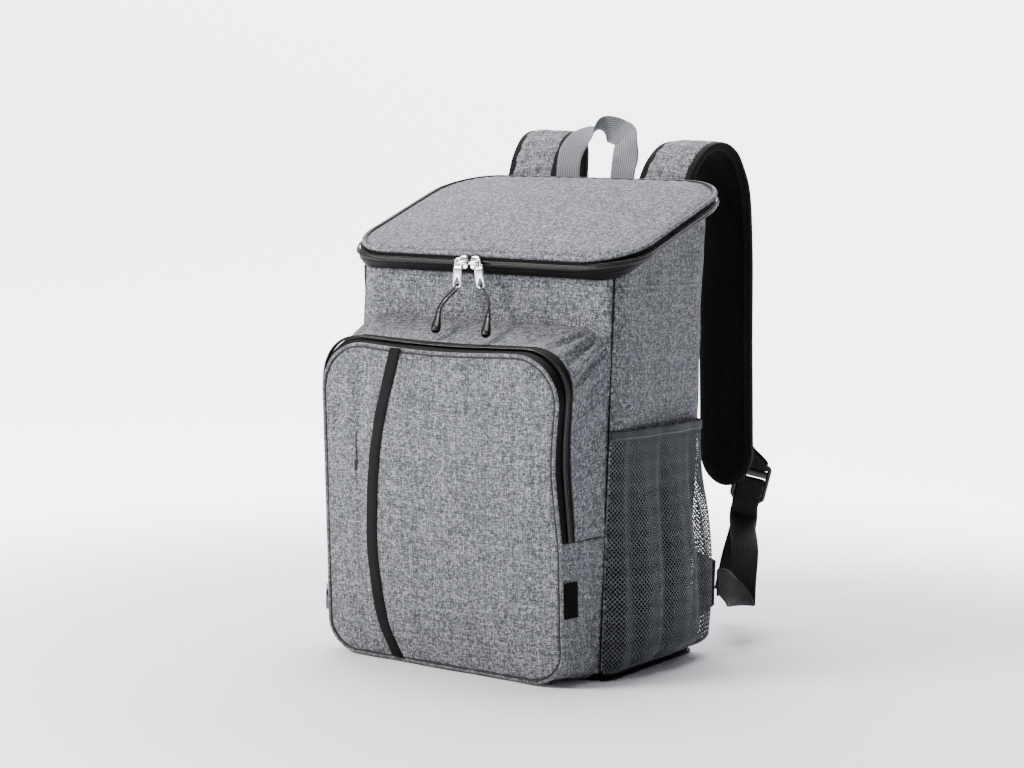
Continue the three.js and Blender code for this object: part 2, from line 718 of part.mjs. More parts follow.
// Half the strap's width at a distance from its upper end: full, then a half ellipse at the tip
function strapHalfAt(along, length) {
  const past = Math.max(0, along - (length - strapTipLength)) / strapTipLength;
  return strapHalfWidth * Math.sqrt(1 - past ** 2);
}
const strapRun = (length) => range(16, 0, 1).map((share) => (length - strapTipLength) * share ** 1.25);
function strapStations(length) {
  const straight = strapRun(length);
  const tip = range(5, 0, Math.PI / 2).slice(1, -1).map((t) => length - strapTipLength * (1 - Math.sin(t)));
  return [...straight, ...tip];
}
function strapPad(frame) {
  const { length } = frame(0, 0, 0);
  const thick = strapThickness / 2;
  const soft = thick * 0.45;
  return skin(
    strapStations(length).map((along) => {
      const half = strapHalfAt(along, length);
      const shoulder = Math.max(half * 0.2, half - 3);
      const section = [[half, -soft], [half, soft], [shoulder, thick], [-shoulder, thick]];
      const under = [[-half, soft], [-half, -soft], [-shoulder, -thick], [shoulder, -thick]];
      return [...section, ...under].map(([out, up]) => frame(along, out, up).point);
    }),
  );
}
function strapBinding(frame) {
  const { length } = frame(0, 0, 0);
  const away = bindingHalfWidth + seamGap;
  const down = strapRun(length).map((along) => [along, strapHalfWidth + away]);
  const round = range(10, 0, Math.PI).slice(1, -1).map((t) => [
    length - strapTipLength + (strapTipLength + away) * Math.sin(t),
    (strapHalfWidth + away) * Math.cos(t),
  ]);
  const back = [...down].reverse().map(([along, out]) => [along, -out]);
  const route = [...down, ...round, ...back];
  const faces = route.map(([along]) => frame(along, 0, 0).face);
  const path = route.map(([along, out]) => frame(along, out, 0).point);
  return sweep(path, oval(bindingHalfThickness, bindingHalfWidth, 6), (i) => faces[i]);
}
const rightFrame = strapFrame(0);
const leftFrame = strapFrame(leftStrapRise);
add("shoulder_strap_right", "melange", strapPad(rightFrame));
add("shoulder_strap_left", "melange", mirrored(strapPad(leftFrame)));
add("strap_binding_right", "black", strapBinding(rightFrame));
add("strap_binding_left", "black", mirrored(strapBinding(leftFrame)));

// Ladder lock: a moulded frame with three bars, behind each strap's tip. Its own directions are across,
// up and away from the bag.
const lockSpot = { across: 121, behind: 139.5, above: -291 };
const lockYaw = 0.56;
const lockTilt = -0.21;
const lockCentre = vec(lockSpot.across, backFace + lockSpot.behind, lidBackZ + lockSpot.above);
const lockAway = vec(-Math.sin(lockYaw), Math.cos(lockYaw), 0);
const lockLevel = vec(Math.cos(lockYaw), Math.sin(lockYaw), 0);
const lockAcross = lockLevel.clone().applyAxisAngle(lockAway, -lockTilt);
const lockUp = lockAcross.clone().cross(lockAway);
const lockPoint = (across, up, away) =>
  lockCentre
    .clone()
    .addScaledVector(lockAcross, across)
    .addScaledVector(lockUp, up)
    .addScaledVector(lockAway, away);
const barPitch = (lockHeight - lockBar) / 2;
function lockGeometry() {
  const box = (shape, halfX, lowY, highY, corner) => {
    shape.moveTo(-halfX + corner, lowY).lineTo(halfX - corner, lowY).lineTo(halfX, lowY + corner);
    shape.lineTo(halfX, highY - corner).lineTo(halfX - corner, highY).lineTo(-halfX + corner, highY);
    return shape.lineTo(-halfX, highY - corner).lineTo(-halfX, lowY + corner);
  };
  const outline = box(new THREE.Shape(), lockWidth / 2, -lockHeight / 2, lockHeight / 2, 4);
  for (const low of [lockBar / 2, lockBar / 2 - barPitch]) {
    const slot = new THREE.Path();
    outline.holes.push(box(slot, lockSlotWidth / 2, low, low + barPitch - lockBar, 0.5));
  }
  const frame = new THREE.ExtrudeGeometry(outline, { depth: lockThickness, bevelEnabled: false });
  frame.translate(0, 0, -lockThickness / 2);
  const place = new THREE.Matrix4().makeBasis(lockAcross, lockUp, lockAcross.clone().cross(lockUp));
  return placed(frame, place.setPosition(lockCentre));
}
// A three.js geometry with its shared corners joined, put in its place
function placed(geometry, matrix) {
  const shape = geometry.clone();
  shape.deleteAttribute("normal");
  shape.deleteAttribute("uv");
  const merged = mergeVertices(shape.applyMatrix4(matrix), 1e-4);
  const corners = Array.from(merged.index.array);
  const faces = [];
  for (let i = 0; i < corners.length; i += 3) {
    const face = corners.slice(i, i + 3);
    if (new Set(face).size === 3) faces.push(...face);
  }
  return solid(Array.from(merged.attributes.position.array), faces);
}
add("ladder_lock_right", "plastic", lockGeometry());
add("ladder_lock_left", "plastic", mirrored(lockGeometry()));

// Corner tab: a stiff cloth triangle sewn outside the back corner seam, cut off where the webbing leaves it
const backCorner = quarter(bodyShape, 2)[0];
const tabStart = seamOffset + seamPipingRadius + seamGap;
const tabEnd = tabStart + tabLength;
function tabGeometry() {
  const outline = [[tabStart, tabBottom], [tabStart, tabTop], [tabEnd, tabOuterTop], [tabEnd, tabOuterBottom]];
  const aside = vec(-backCorner.ny, backCorner.nx, 0).multiplyScalar(tabThickness / 2);
  return skin([-1, 1].map((side) => outline.map(([out, z]) => lift(backCorner, out, z).addScaledVector(aside, side))));
}
add("corner_tab_right", "black", tabGeometry());
add("corner_tab_left", "black", mirrored(tabGeometry()));

// Adjusting webbing: out of the corner tab, down into a fold, up through the ladder lock, over its middle
// bar and down again as a free tail. Offsets are mm from the tab's end or from the lock's centre, and the
// last column turns the webbing's width from upright, 0, to level, 1.
const slackLine = [
  { out: 1.2, back: 1.2, up: 0, level: 0 },
  { out: 3, back: 8, up: 0, level: 0 },
  { out: 5, back: 20, up: -8, level: 0.1 },
  { out: 5, back: 36, up: -18, level: 0.45 },
  { out: 3, back: 48, up: -26, level: 0.8 },
  { out: 1, back: 56, up: -29, level: 0.95 },
  { out: -1, back: 61, up: -24, level: 1 },
  { out: -3, back: 65, up: -10, level: 1 },
  { out: -11, back: 84, up: 18, level: 1 },
];
const tailLine = [
  { out: -3, back: -5, up: -42 },
  { out: -8, back: -12, up: -76 },
  { out: -12, back: -17, up: -110 },
];
const webbingAway = lockThickness / 2 + webbingClearance + webbingThickness / 2;
// Half way round a bar, from its near side to its far side, as shares of webbingAway
const roundBar = [[0, -1], [0.9, -0.9], [1.15, 0], [0.9, 0.9], [0, 1]];
function adjustingWebbing() {
  const start = lift(backCorner, tabEnd + seamGap, mix(tabOuterBottom, tabOuterTop, 0.5));
  const points = [];
  for (const { out, back, up, level } of slackLine) {
    points.push({ at: start.clone().add(vec(out, back, up)), side: vec(0, 0, 1).lerp(lockLevel, level) });
  }
  for (const up of [-34, -20, -6]) points.push({ at: lockPoint(0, up, -webbingAway), side: lockAcross });
  for (const [up, away] of roundBar) {
    points.push({ at: lockPoint(0, up * webbingAway, away * webbingAway), side: lockAcross });
  }
  for (const up of [-8, -20]) points.push({ at: lockPoint(0, up, webbingAway), side: lockAcross });
  const below = lockPoint(0, 0, webbingAway);
  for (const { out, back, up } of tailLine) {
    points.push({ at: below.clone().add(vec(out, back, up)), side: lockLevel });
  }
  const curve = new THREE.CatmullRomCurve3(points.map((point) => point.at), false, "centripetal");
  const steps = 2 * (points.length - 1);
  const path = range(steps, 0, 1).map((share) => curve.getPoint(share));
  const sides = path.map((_, i) => {
    const low = points[Math.floor(i / 2)].side;
    const high = points[Math.ceil(i / 2)].side;
    return low.clone().lerp(high, 0.5);
  });
  return sweep(path, webbingSection, (i) => sides[i]);
}
add("adjusting_webbing_right", "webbing", adjustingWebbing());
add("adjusting_webbing_left", "webbing", mirrored(adjustingWebbing()));

// Webbing loop that ties each ladder lock's top bar to the back of its strap
const loopOnStrap = 48;
const loopAcross = 9.5;
function lockLoop(frame) {
  const { length } = frame(0, 0, 0);
  const rest = strapThickness / 2 + seamGap + webbingThickness / 2;
  const onStrap = (back, layer) =>
    frame(length - back, loopAcross, rest + layer * (webbingThickness + seamGap)).point;
  const bar = roundBar.map(([up, away]) => lockPoint(0, barPitch - up * webbingAway, away * webbingAway));
  const near = [[loopOnStrap, 0], [loopOnStrap - 8, 0], [loopOnStrap - 16, 1.6]];
  const far = [[loopOnStrap - 12, 3], [loopOnStrap, 1]];
  bar.push(lockPoint(0, barPitch + lockBar, webbingAway));
  const path = [...near.map((at) => onStrap(...at)), ...bar, ...far.map((at) => onStrap(...at))];
  const onBar = (i) => i >= near.length && i < near.length + bar.length;
  return sweep(path, webbingSection, (i) => (onBar(i) ? lockAcross : vec(1, 0, 0)), { slanted: true });
}
add("lock_loop_right", "webbing", lockLoop(rightFrame));
add("lock_loop_left", "webbing", mirrored(lockLoop(rightFrame)));

// Lid zip sliders and pulls
const teethMiddle = lidTeethPath[Math.floor(lidTeethPath.length / 2)];
const lean = bandLean[Math.floor(bandLean.length / 2)];
const teethReach = Math.hypot(teethHalfWidth * lean.y, teethHalfHeight * lean.z);
const sliderBack = teethMiddle.y - teethReach - seamGap;
const sliderZ = teethMiddle.z;

// Joins pieces of one moulding or casting into one closed body
function joined(...geometries) {
  const bodies = geometries.map((geometry) => {
    const mesh = mergeVertices(geometry, 1e-4);
    const vertProperties = new Float32Array(mesh.attributes.position.array);
    return new wasm.Manifold(new wasm.Mesh({ numProp: 3, vertProperties, triVerts: new Uint32Array(mesh.index.array) }));
  });
  const { vertProperties, triVerts } = bodies.reduce((whole, body) => whole.add(body)).getMesh();
  return solid(Array.from(vertProperties), Array.from(triVerts));
}
// A block between two corners
function block(low, high) {
  const size = high.clone().sub(low);
  const middle = low.clone().add(high).multiplyScalar(0.5);
  return placed(new THREE.BoxGeometry(size.x, size.y, size.z), new THREE.Matrix4().setPosition(middle));
}
const barFront = sliderBodyDepth + bailOpening;
const legOut = sliderWidth / 2 - bailBar / 2;
function sliderGeometry(x) {
  const part = (x0, d0, z0, x1, d1, z1) =>
    block(vec(x + x0, sliderBack - d1, sliderZ + z0), vec(x + x1, sliderBack - d0, sliderZ + z1));
  const half = sliderWidth / 2;
  const legZ = bailWidth / 2;
  const body = part(-half, 0, -sliderHeight / 2, half, sliderBodyDepth, sliderHeight / 2);
  const legs = [-legOut, legOut].map((at) =>
    part(at - bailBar / 2, sliderBodyDepth / 2, -legZ, at + bailBar / 2, barFront + bailBar, legZ),
  );
  const bar = part(-half, barFront, -legZ, half, barFront + bailBar, legZ);
  return joined(body, ...legs, bar);
}
const pullMiddle = sliderBack - sliderBodyDepth - bailOpening / 2;
const pullEyeGap = 0.4;
const pullTop = bailWidth / 2 + seamGap + 1.8;
const pullHoleZ = pullTop - pullLength + pullWidth / 2;
function pullGeometry(x, tilt) {
  const half = pullWidth / 2;
  const eyeX = bailBar / 2 + pullEyeGap;
  const eyeTop = bailWidth / 2 + seamGap;
  const eyeLow = -bailWidth / 2 - 1.2;
  const shoulder = eyeLow - 2;
  const shape = new THREE.Shape();
  shape.moveTo(-half * 0.7, pullTop).lineTo(half * 0.7, pullTop).lineTo(half * 0.85, shoulder);
  shape.lineTo(half, pullHoleZ).absarc(0, pullHoleZ, half, 0, -Math.PI, true);
  shape.lineTo(-half * 0.85, shoulder);
  const eye = new THREE.Path();
  eye.moveTo(-eyeX, eyeTop).lineTo(-eyeX, eyeLow).lineTo(eyeX, eyeLow).lineTo(eyeX, eyeTop).closePath();
  const hole = new THREE.Path().absarc(0, pullHoleZ, pullHoleRadius, 0, 2 * Math.PI);
  shape.holes.push(eye, hole);
  const plate = new THREE.ExtrudeGeometry(shape, { depth: pullThickness, bevelEnabled: false, curveSegments: 5 });
  plate.translate(0, 0, -pullThickness / 2).rotateX(Math.PI / 2).rotateY(tilt);
  return placed(plate, new THREE.Matrix4().setPosition(x, pullMiddle, sliderZ));
}
add("lid_slider_left", "metal", sliderGeometry(leftSliderX));
add("lid_slider_right", "metal", sliderGeometry(rightSliderX));
add("lid_pull_left", "metal", pullGeometry(leftSliderX - legOut, 0));
add("lid_pull_right", "metal", pullGeometry(rightSliderX + legOut, rightPullTilt));

// Pull cords: each is one thin cord that runs from its grip up in front of the pull, through the hole and
// down behind it, back into the grip. Each grip rests on the pocket's top.
const cordRoutes = {
  left: [
    [-21.9, -122.6, 315.2], [-21.6, -119.5, 319.5], [-19.6, -115.8, 325.0], [-16.4, -112.6, 329.8],
    [-13.4, -110.6, 333.6], [-12.1, -109.8, 336.0], [-11.9, -107.8, 337.2], [-12.0, -105.9, 336.0],
    [-12.8, -106.0, 332.9], [-15.2, -109.0, 329.0], [-18.4, -112.9, 323.6], [-20.2, -117.6, 318.3],
    [-20.1, -120.6, 314.4],
  ],
  right: [
    [29.7, -122.8, 314.6], [29.2, -120.2, 319.0], [27.4, -117.2, 324.2], [23.6, -114.0, 329.4],
    [18.2, -111.6, 333.4], [14.0, -110.0, 336.2], [12.7, -107.8, 337.6], [13.0, -105.9, 336.4],
    [15.4, -105.8, 333.0], [20.6, -108.6, 329.4], [25.6, -112.6, 324.6], [28.6, -117.0, 319.0],
    [30.9, -120.6, 313.6],
  ],
};
const gripEnds = { left: [-13.5, -137.5, 297], right: [38.5, -137.5, 296] };
function gripGeometry(route, end) {
  const top = vec(...route[0]).lerp(vec(...route.at(-1)), 0.5);
  const along = vec(...end).sub(top).normalize();
  const profile = [
    [0, 0], [gripTopRadius, 0], [gripTopRadius, 0.14], [gripTopRadius * 0.8, 0.2],
    [gripEndRadius, 0.75], [gripEndRadius * 0.9, 0.97], [gripEndRadius * 0.6, 1], [0, 1],
  ];
  const lathe = new THREE.LatheGeometry(profile.map(([r, y]) => new THREE.Vector2(r, y * gripLength)), 10);
  const aside = vec(1, 0, 0).addScaledVector(along, -along.x).normalize();
  const place = new THREE.Matrix4().makeBasis(aside, along, aside.clone().cross(along));
  return placed(lathe, place.setPosition(top.addScaledVector(along, gripGap)));
}
const gripGap = 0.7;
for (const side of ["left", "right"]) {
  const curve = new THREE.CatmullRomCurve3(cordRoutes[side].map((point) => vec(...point)), false, "centripetal");
  const path = range(18, 0, 1).map((share) => curve.getPoint(share));
  add("pull_cord_" + side, "black", sweep(path, oval(cordRadius, cordRadius, 8), () => vec(1, 0.2, 0)));
  add("pull_grip_" + side, "plastic", gripGeometry(cordRoutes[side], gripEnds[side]));
}

// The pocket's slider, closed against the zip's lower end on the left, is one plain piece with its pull
const pocketSliderZ = pocketZipLeftEnd + sliderHeight;
function pocketSlider() {
  const column = (shape) => ({ x: shape.shift - shape.halfWidth, z: pocketSliderZ, nx: -1, nz: 0 });
  const behind = (pipingClear + tapeEnd) / 2;
  const seat = gussetPoint(column(pocketFront), column(pocketBack), behind, pocketTeethOut + teethHalfHeight + seamGap);
  const part = (d0, y0, z0, d1, y1, z1) =>
    block(vec(seat.x - d1, seat.y + y0, seat.z + z0), vec(seat.x - d0, seat.y + y1, seat.z + z1));
  const half = sliderWidth / 2;
  const body = part(0, -half, -sliderHeight / 2, sliderBodyDepth, half, sliderHeight / 2);
  const neck = part(sliderBodyDepth / 2, -legOut / 2, 0, barFront, legOut / 2, bailWidth);
  const plate = part(barFront - pullThickness, -pullWidth / 2, bailWidth - pullLength, barFront, pullWidth / 2, bailWidth);
  return joined(body, neck, plate);
}
add("pocket_slider", "metal", pocketSlider());

export default bag;
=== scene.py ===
# %% [markdown]
# # A cooler backpack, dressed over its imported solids
#
# The bag is a padded box of two-tone melange cloth with a sloping zipped lid, a deep zipped front
# pocket, net side pockets, a webbing handle and two padded straps. Each step below makes one piece of
# the real bag as a surface worked out with numpy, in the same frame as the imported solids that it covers.

# %% The frame
import math
import bpy
import numpy as np
from mathutils import Matrix


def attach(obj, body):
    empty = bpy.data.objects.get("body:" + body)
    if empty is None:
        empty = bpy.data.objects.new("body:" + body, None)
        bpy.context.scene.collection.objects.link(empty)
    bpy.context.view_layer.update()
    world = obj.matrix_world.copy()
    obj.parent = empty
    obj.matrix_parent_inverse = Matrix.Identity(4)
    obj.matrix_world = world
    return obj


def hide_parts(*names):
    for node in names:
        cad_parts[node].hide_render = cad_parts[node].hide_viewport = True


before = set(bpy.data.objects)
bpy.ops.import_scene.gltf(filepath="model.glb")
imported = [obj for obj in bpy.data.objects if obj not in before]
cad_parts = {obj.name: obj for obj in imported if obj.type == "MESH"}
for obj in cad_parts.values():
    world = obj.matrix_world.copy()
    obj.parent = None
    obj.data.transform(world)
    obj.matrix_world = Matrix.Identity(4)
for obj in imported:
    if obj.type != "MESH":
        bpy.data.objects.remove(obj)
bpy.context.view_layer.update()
print("packed nodes:", len(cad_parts))

# %% [markdown]
# ## Measures and the camera
#
# Shapes are worked out in millimetres, because that is how the bag is cut, and turned to metres when they
# go into a mesh. The camera stands where the photograph was taken from: low, in front and to the right.

# %% Units, the camera and the body that pieces ride on
MM = 0.001
BODY = "root"
CAMERA_AT = np.array([1.0055, -1.6397, 0.4183])
LENS, SENSOR = 73.54, 36.0
AZIMUTH, ELEVATION, ROLL = math.radians(32.0), math.radians(5.2), math.radians(1.9)


def unit(v):
    """Vectors divided by their length, along the last axis."""
    return v / np.maximum(np.linalg.norm(v, axis=-1, keepdims=True), 1e-12)


def make_camera():
    """A camera that looks back along its own third axis; roll turns its other two about that axis."""
    back = np.array(
        [
            math.sin(AZIMUTH) * math.cos(ELEVATION), -math.cos(AZIMUTH) * math.cos(ELEVATION),
            math.sin(ELEVATION)
        ]
    )
    level = unit(np.cross([0.0, 0.0, 1.0], back))
    upright = np.cross(back, level)
    right = math.cos(ROLL) * level + math.sin(ROLL) * upright
    above = np.cross(back, right)
    data = bpy.data.cameras.new("camera")
    data.lens, data.sensor_width = LENS, SENSOR
    data.clip_start, data.clip_end = 0.05, 100.0
    camera = bpy.data.objects.new("camera", data)
    bpy.context.scene.collection.objects.link(camera)
    matrix = np.eye(4)
    matrix[:3, 0], matrix[:3, 1], matrix[:3, 2], matrix[:3, 3] = right, above, back, CAMERA_AT
    camera.matrix_world = Matrix(matrix.tolist())
    bpy.context.scene.camera = camera
    return camera


camera = make_camera()
print("camera at", camera.location)

# %% [markdown]
# ## Grids and meshes
#
# Almost every piece is a closed skin: a loop of points carried along a row of stations, with its two ends
# closed or joined. One function turns such an array into a mesh, with a UV map in metres, so that a weave
# keeps its real size and follows the cloth.

# %% Arrays into meshes
def mesh_from(name, points, faces, uv=None, material=None, smooth=True, face_material=None):
    """A mesh object from points (n, 3) in mm, quads or triangles (m, k) and a UV for every face corner."""
    mesh = bpy.data.meshes.new(name)
    faces = np.asarray(faces, np.int32)
    mesh.vertices.add(len(points))
    mesh.vertices.foreach_set("co", (points * MM).astype(np.float32).ravel())
    mesh.loops.add(faces.size)
    mesh.loops.foreach_set("vertex_index", faces.ravel())
    mesh.polygons.add(len(faces))
    sides = faces.shape[1]
    mesh.polygons.foreach_set("loop_start", np.arange(0, faces.size, sides, dtype=np.int32))
    mesh.polygons.foreach_set("loop_total", np.full(len(faces), sides, np.int32))
    if uv is not None:
        layer = mesh.uv_layers.new(name="cloth")
        layer.data.foreach_set("uv", (uv * MM).astype(np.float32).ravel())
    mesh.update(calc_edges=True)
    mesh.polygons.foreach_set("use_smooth", np.full(len(faces), smooth))
    if face_material is not None:
        mesh.polygons.foreach_set("material_index", face_material.astype(np.int32))
    piece = bpy.data.objects.new(name, mesh)
    bpy.context.scene.collection.objects.link(piece)
    for one in material if isinstance(material, (list, tuple)) else [material]:
        if one is not None:
            mesh.materials.append(one)
    return piece


def outward(points, quads):
    """The quads, turned round if the signed volume of their closed skin is negative."""
    a, b, c, d = (points[quads[:, k]] for k in range(4))
    volume = np.einsum("ij,ij->i", a, np.cross(b, c)).sum() + np.einsum("ij,ij->i", a, np.cross(c, d)).sum()
    return quads[:, ::-1] if volume < 0 else quads


def skin_faces(rows, ring, loop):
    """Quads between neighbouring rings of a closed skin, and strips that close its two ends."""
    i = np.arange(rows if loop else rows - 1)[:, None]
    j = np.arange(ring)[None, :]
    here, there = i * ring, ((i + 1) % rows) * ring
    after = (j + 1) % ring
    sides = np.stack([here + j, here + after, there + after, there + j], -1).reshape(-1, 4)
    if loop:
        return sides, np.zeros((0, 4), int)
    k = np.arange(ring // 2 - 1)
    far, end = ring - 1 - k, (rows - 1) * ring
    start_cap = np.stack([k, far, far - 1, k + 1], -1)
    end_cap = np.stack([end + k, end + k + 1, end + far - 1, end + far], -1)
    return sides, np.concatenate([start_cap, end_cap])


def lengths(points, axis=0):
    """Running length along one axis of an array of points."""
    steps = np.linalg.norm(np.diff(points, axis=axis), axis=-1)
    zero = np.zeros_like(np.take(steps, [0], axis=axis))
    return np.concatenate([zero, np.cumsum(steps, axis=axis)], axis=axis)


def skin(name, sections, material, uv=None, loop=False, face_material=None):
    """A closed skin through sections (rows, ring, 3): the UV runs round the ring and along the rows.

    Where uv (rows, ring, 2) is given it is used instead, as for flat cloth whose threads lie in a plane.
    """
    sections = np.asarray(sections, float)
    rows, ring, _ = sections.shape
    sides, caps = skin_faces(rows, ring, loop)
    points = sections.reshape(-1, 3)
    quads = np.concatenate([sides, caps])
    if uv is None:
        around = lengths(np.concatenate([sections, sections[:, :1]], 1), 1)
        middle = np.concatenate([sections, sections[:1]], 0) if loop else sections
        down = lengths(middle.mean(1), 0)
        i, j = np.divmod(np.arange(len(sides)), ring)
        u = np.stack(
            [around[i, j], around[i, j + 1], around[(i + 1) % rows, j + 1], around[(i + 1) % rows, j]], -1
        )
        v = np.stack([down[i], down[i], down[i + 1], down[i + 1]], -1)
        corner_uv = np.concatenate([np.stack([u, v], -1), np.zeros((len(caps), 4, 2))])
    else:
        corner_uv = uv.reshape(-1, 2)[quads]
    turned = outward(points, quads)
    if turned is not quads:
        corner_uv = corner_uv[:, ::-1]
    kinds = None
    if face_material is not None:
        kinds = np.concatenate([face_material(sides, ring), np.zeros(len(caps), int)])
    return mesh_from(name, points, turned, corner_uv.reshape(-1, 2), material, face_material=kinds)


def slab(name, outer, inner, material, uv=None):
    """A closed wall between two grids of the same size: each row runs out along one and back along the other."""
    both = None if uv is None else np.concatenate([uv, uv[:, ::-1]], 1)
    return skin(name, np.concatenate([outer, inner[:, ::-1]], 1), material, both)


# %% Paths, sweeps and soft noise
def spline(points, count):
    """A smooth path through points: centripetal Catmull-Rom, sampled at even lengths.

    Between two points the curve is a cubic whose slopes come from the neighbours, each step weighted by
    the square root of its length.
    """
    p = np.asarray(points, float)
    p = np.concatenate([[2 * p[0] - p[1]], p, [2 * p[-1] - p[-2]]])
    step = np.maximum(np.linalg.norm(np.diff(p[:, :3], axis=0), axis=1), 1e-6) ** 0.5
    d0, d1, d2 = step[:-2, None, None], step[1:-1, None, None], step[2:, None, None]
    p0, p1, p2, p3 = (p[k:len(p) - 3 + k, None, :] for k in range(4))
    m1 = (p1 - p0) / d0 - (p2 - p0) / (d0 + d1) + (p2 - p1) / d1
    m2 = (p2 - p1) / d1 - (p3 - p1) / (d1 + d2) + (p3 - p2) / d2
    m1, m2 = m1 * d1, m2 * d1
    t = np.linspace(0, 1, 24, endpoint=False)[None, :, None]
    curve = (
        2 * t**3 - 3 * t**2 + 1
    ) * p1 + (t**3 - 2 * t**2 + t) * m1 + (3 * t**2 - 2 * t**3) * p2 + (t**3 - t**2) * m2
    curve = np.concatenate([curve.reshape(-1, p.shape[1]), p[-2:-1]])
    run = lengths(curve[:, :3])
    even = np.linspace(0, run[-1], count)
    return np.stack([np.interp(even, run, curve[:, k]) for k in range(p.shape[1])], -1)


def frames(path, side, loop=False):
    """Along, side and facing directions at each point of a path; side is made square to the path."""
    if loop:
        along = unit(np.roll(path, -1, 0) - np.roll(path, 1, 0))
    else:
        along = unit(np.gradient(path, axis=0))
    side = np.broadcast_to(np.asarray(side, float), path.shape)
    side = unit(side - (side * along).sum(-1, keepdims=True) * along)
    return along, side, np.cross(along, side)


def sweep(path, side, section, loop=False):
    """Sections (rows, ring, 3): a flat section (ring, 2) or (rows, ring, 2) carried along a path."""
    _, first, second = frames(path, side, loop)
    section = np.broadcast_to(section, (len(path),) + np.shape(section)[-2:])
    return path[:, None] + section[..., :1] * first[:, None] + section[..., 1:] * second[:, None]


def round_section(a, b, sides=12, power=2.0):
    """A superellipse: |x/a|^power + |y/b|^power = 1."""
    t = np.linspace(0, 2 * np.pi, sides, endpoint=False)
    c, s = np.cos(t), np.sin(t)
    return np.stack(
        [a * np.sign(c) * np.abs(c) ** (2 / power), b * np.sign(s) * np.abs(s) ** (2 / power)], -1
    )


def ribbon_section(half, thick, across=14):
    """A flat strip's outline with rounded edges: out along the top face and back along the bottom one."""
    x = np.linspace(-1, 1, across)
    edge = np.sqrt(np.clip(1 - np.abs(x) ** 10, 0, 1)) * 0.85 + 0.15
    top = np.stack([x * half, edge * thick], -1)
    return np.concatenate([top, top[::-1] * [1, -1]])


def waves(u, v, size, seed, count=9):
    """Soft noise from -1 to 1: a sum of sine waves of about one size, in seeded directions and phases."""
    draw = np.random.default_rng(seed)
    turn = draw.uniform(0, 2 * np.pi, count)
    size = size * draw.uniform(0.7, 1.5, count)
    phase = draw.uniform(0, 2 * np.pi, count)
    total = sum(
        np.sin(2 * np.pi * (u * np.cos(a) + v * np.sin(a)) / s + p) for a, s, p in zip(turn, size, phase)
    )
    return total / math.sqrt(count)


def bell(x, centre, wide):
    """A smooth bump: 1 at its centre, falling to 0.37 at wide."""
    return np.exp(-(((x - centre) / wide) ** 2))


def smooth(low, high, x):
    """0 below low, 1 above high, with a soft start and end."""
    t = np.clip((x - low) / (high - low), 0, 1)
    return t * t * (3 - 2 * t)


# %% [markdown]
# ## Finishes
#
# A finish starts from what the real one looks like. The cloth is taken for a polyester woven from grey and
# white yarns: each yarn changes shade along its length, so the eye reads short light and dark dashes up and
# down and across. Patterns are laid out on the UV map, whose unit is the metre.

# %% Colours and nodes
def linear(code):
    """An sRGB hex colour as linear red, green, blue and 1."""
    values = [int(code[k:k + 2], 16) / 255 for k in (1, 3, 5)]
    return [v / 12.92 if v <= 0.04045 else ((v + 0.055) / 1.055) ** 2.4 for v in values] + [1.0]


def add_node(tree, kind, sockets=None, **settings):
    """One node with its settings; each socket is given a value or another node's output."""
    node = tree.nodes.new(kind)
    for key, value in settings.items():
        setattr(node, key, value)
    for key, value in (sockets or {}).items():
        if isinstance(value, bpy.types.NodeSocket):
            tree.links.new(value, node.inputs[key])
        else:
            node.inputs[key].default_value = value
    return node


def new_material(name, **constants):
    """A material with one Principled shader, whose constant sockets are set directly."""
    material = bpy.data.materials.new(name)
    material.use_nodes = True
    tree = material.node_tree
    shader = tree.nodes["Principled BSDF"]
    for key, value in constants.items():
        shader.inputs[key.replace("_", " ")].default_value = value
    return material, tree, shader


def ramp(tree, factor, stops):
    """A colour ramp from (place, hex) stops."""
    node = add_node(tree, "ShaderNodeValToRGB", {"Fac": factor})
    while len(node.color_ramp.elements) < len(stops):
        node.color_ramp.elements.new(0.5)
    for element, (place, code) in zip(node.color_ramp.elements, stops):
        element.position, element.color = place, linear(code)
    return node.outputs["Color"]


def scaled(tree, source, scale):
    """Coordinates multiplied along each axis: 1 / scale is the pattern's size there in metres."""
    return add_node(tree, "ShaderNodeMapping", {"Vector": source, "Scale": scale}).outputs["Vector"]


def maths(tree, operation, *values):
    """A Math node of two or three values, numbers or sockets."""
    return add_node(tree, "ShaderNodeMath", dict(enumerate(values)), operation=operation).outputs[0]


def noise(tree, vector, detail=2.0, rough=0.5):
    """Noise of one unit's size."""
    node = add_node(
        tree, "ShaderNodeTexNoise", {"Vector": vector, "Scale": 1.0, "Detail": detail, "Roughness": rough}
    )
    return node.outputs["Fac"]


# %% The melange cloth
THREAD = 0.7e-3  # taken for about 0.6 mm, and drawn a little coarser so that they show
DASH = 2.6e-3


def white(tree, *values):
    """A random number for each set of whole numbers."""
    place = add_node(tree, "ShaderNodeCombineXYZ", dict(enumerate(values))).outputs["Vector"]
    return add_node(
        tree, "ShaderNodeTexWhiteNoise", {"Vector": place}, noise_dimensions="3D"
    ).outputs["Value"]


def dashes(tree, across, along, seed):
    """Yarns side by side, each dyed in dashes: every yarn starts at its own place, each dash has its own
    shade, and a fifth of the shade is the whole yarn's."""
    yarn = maths(tree, "FLOOR", maths(tree, "DIVIDE", across, THREAD))
    start = maths(tree, "MULTIPLY", white(tree, yarn, seed, 0.5), 7.0)
    dash = maths(tree, "FLOOR", maths(tree, "ADD", maths(tree, "DIVIDE", along, DASH), start))
    own = maths(tree, "MULTIPLY", white(tree, yarn, seed, 0.75), 0.22)
    return maths(tree, "ADD", maths(tree, "MULTIPLY", white(tree, yarn, dash, seed + 0.25), 0.78), own)


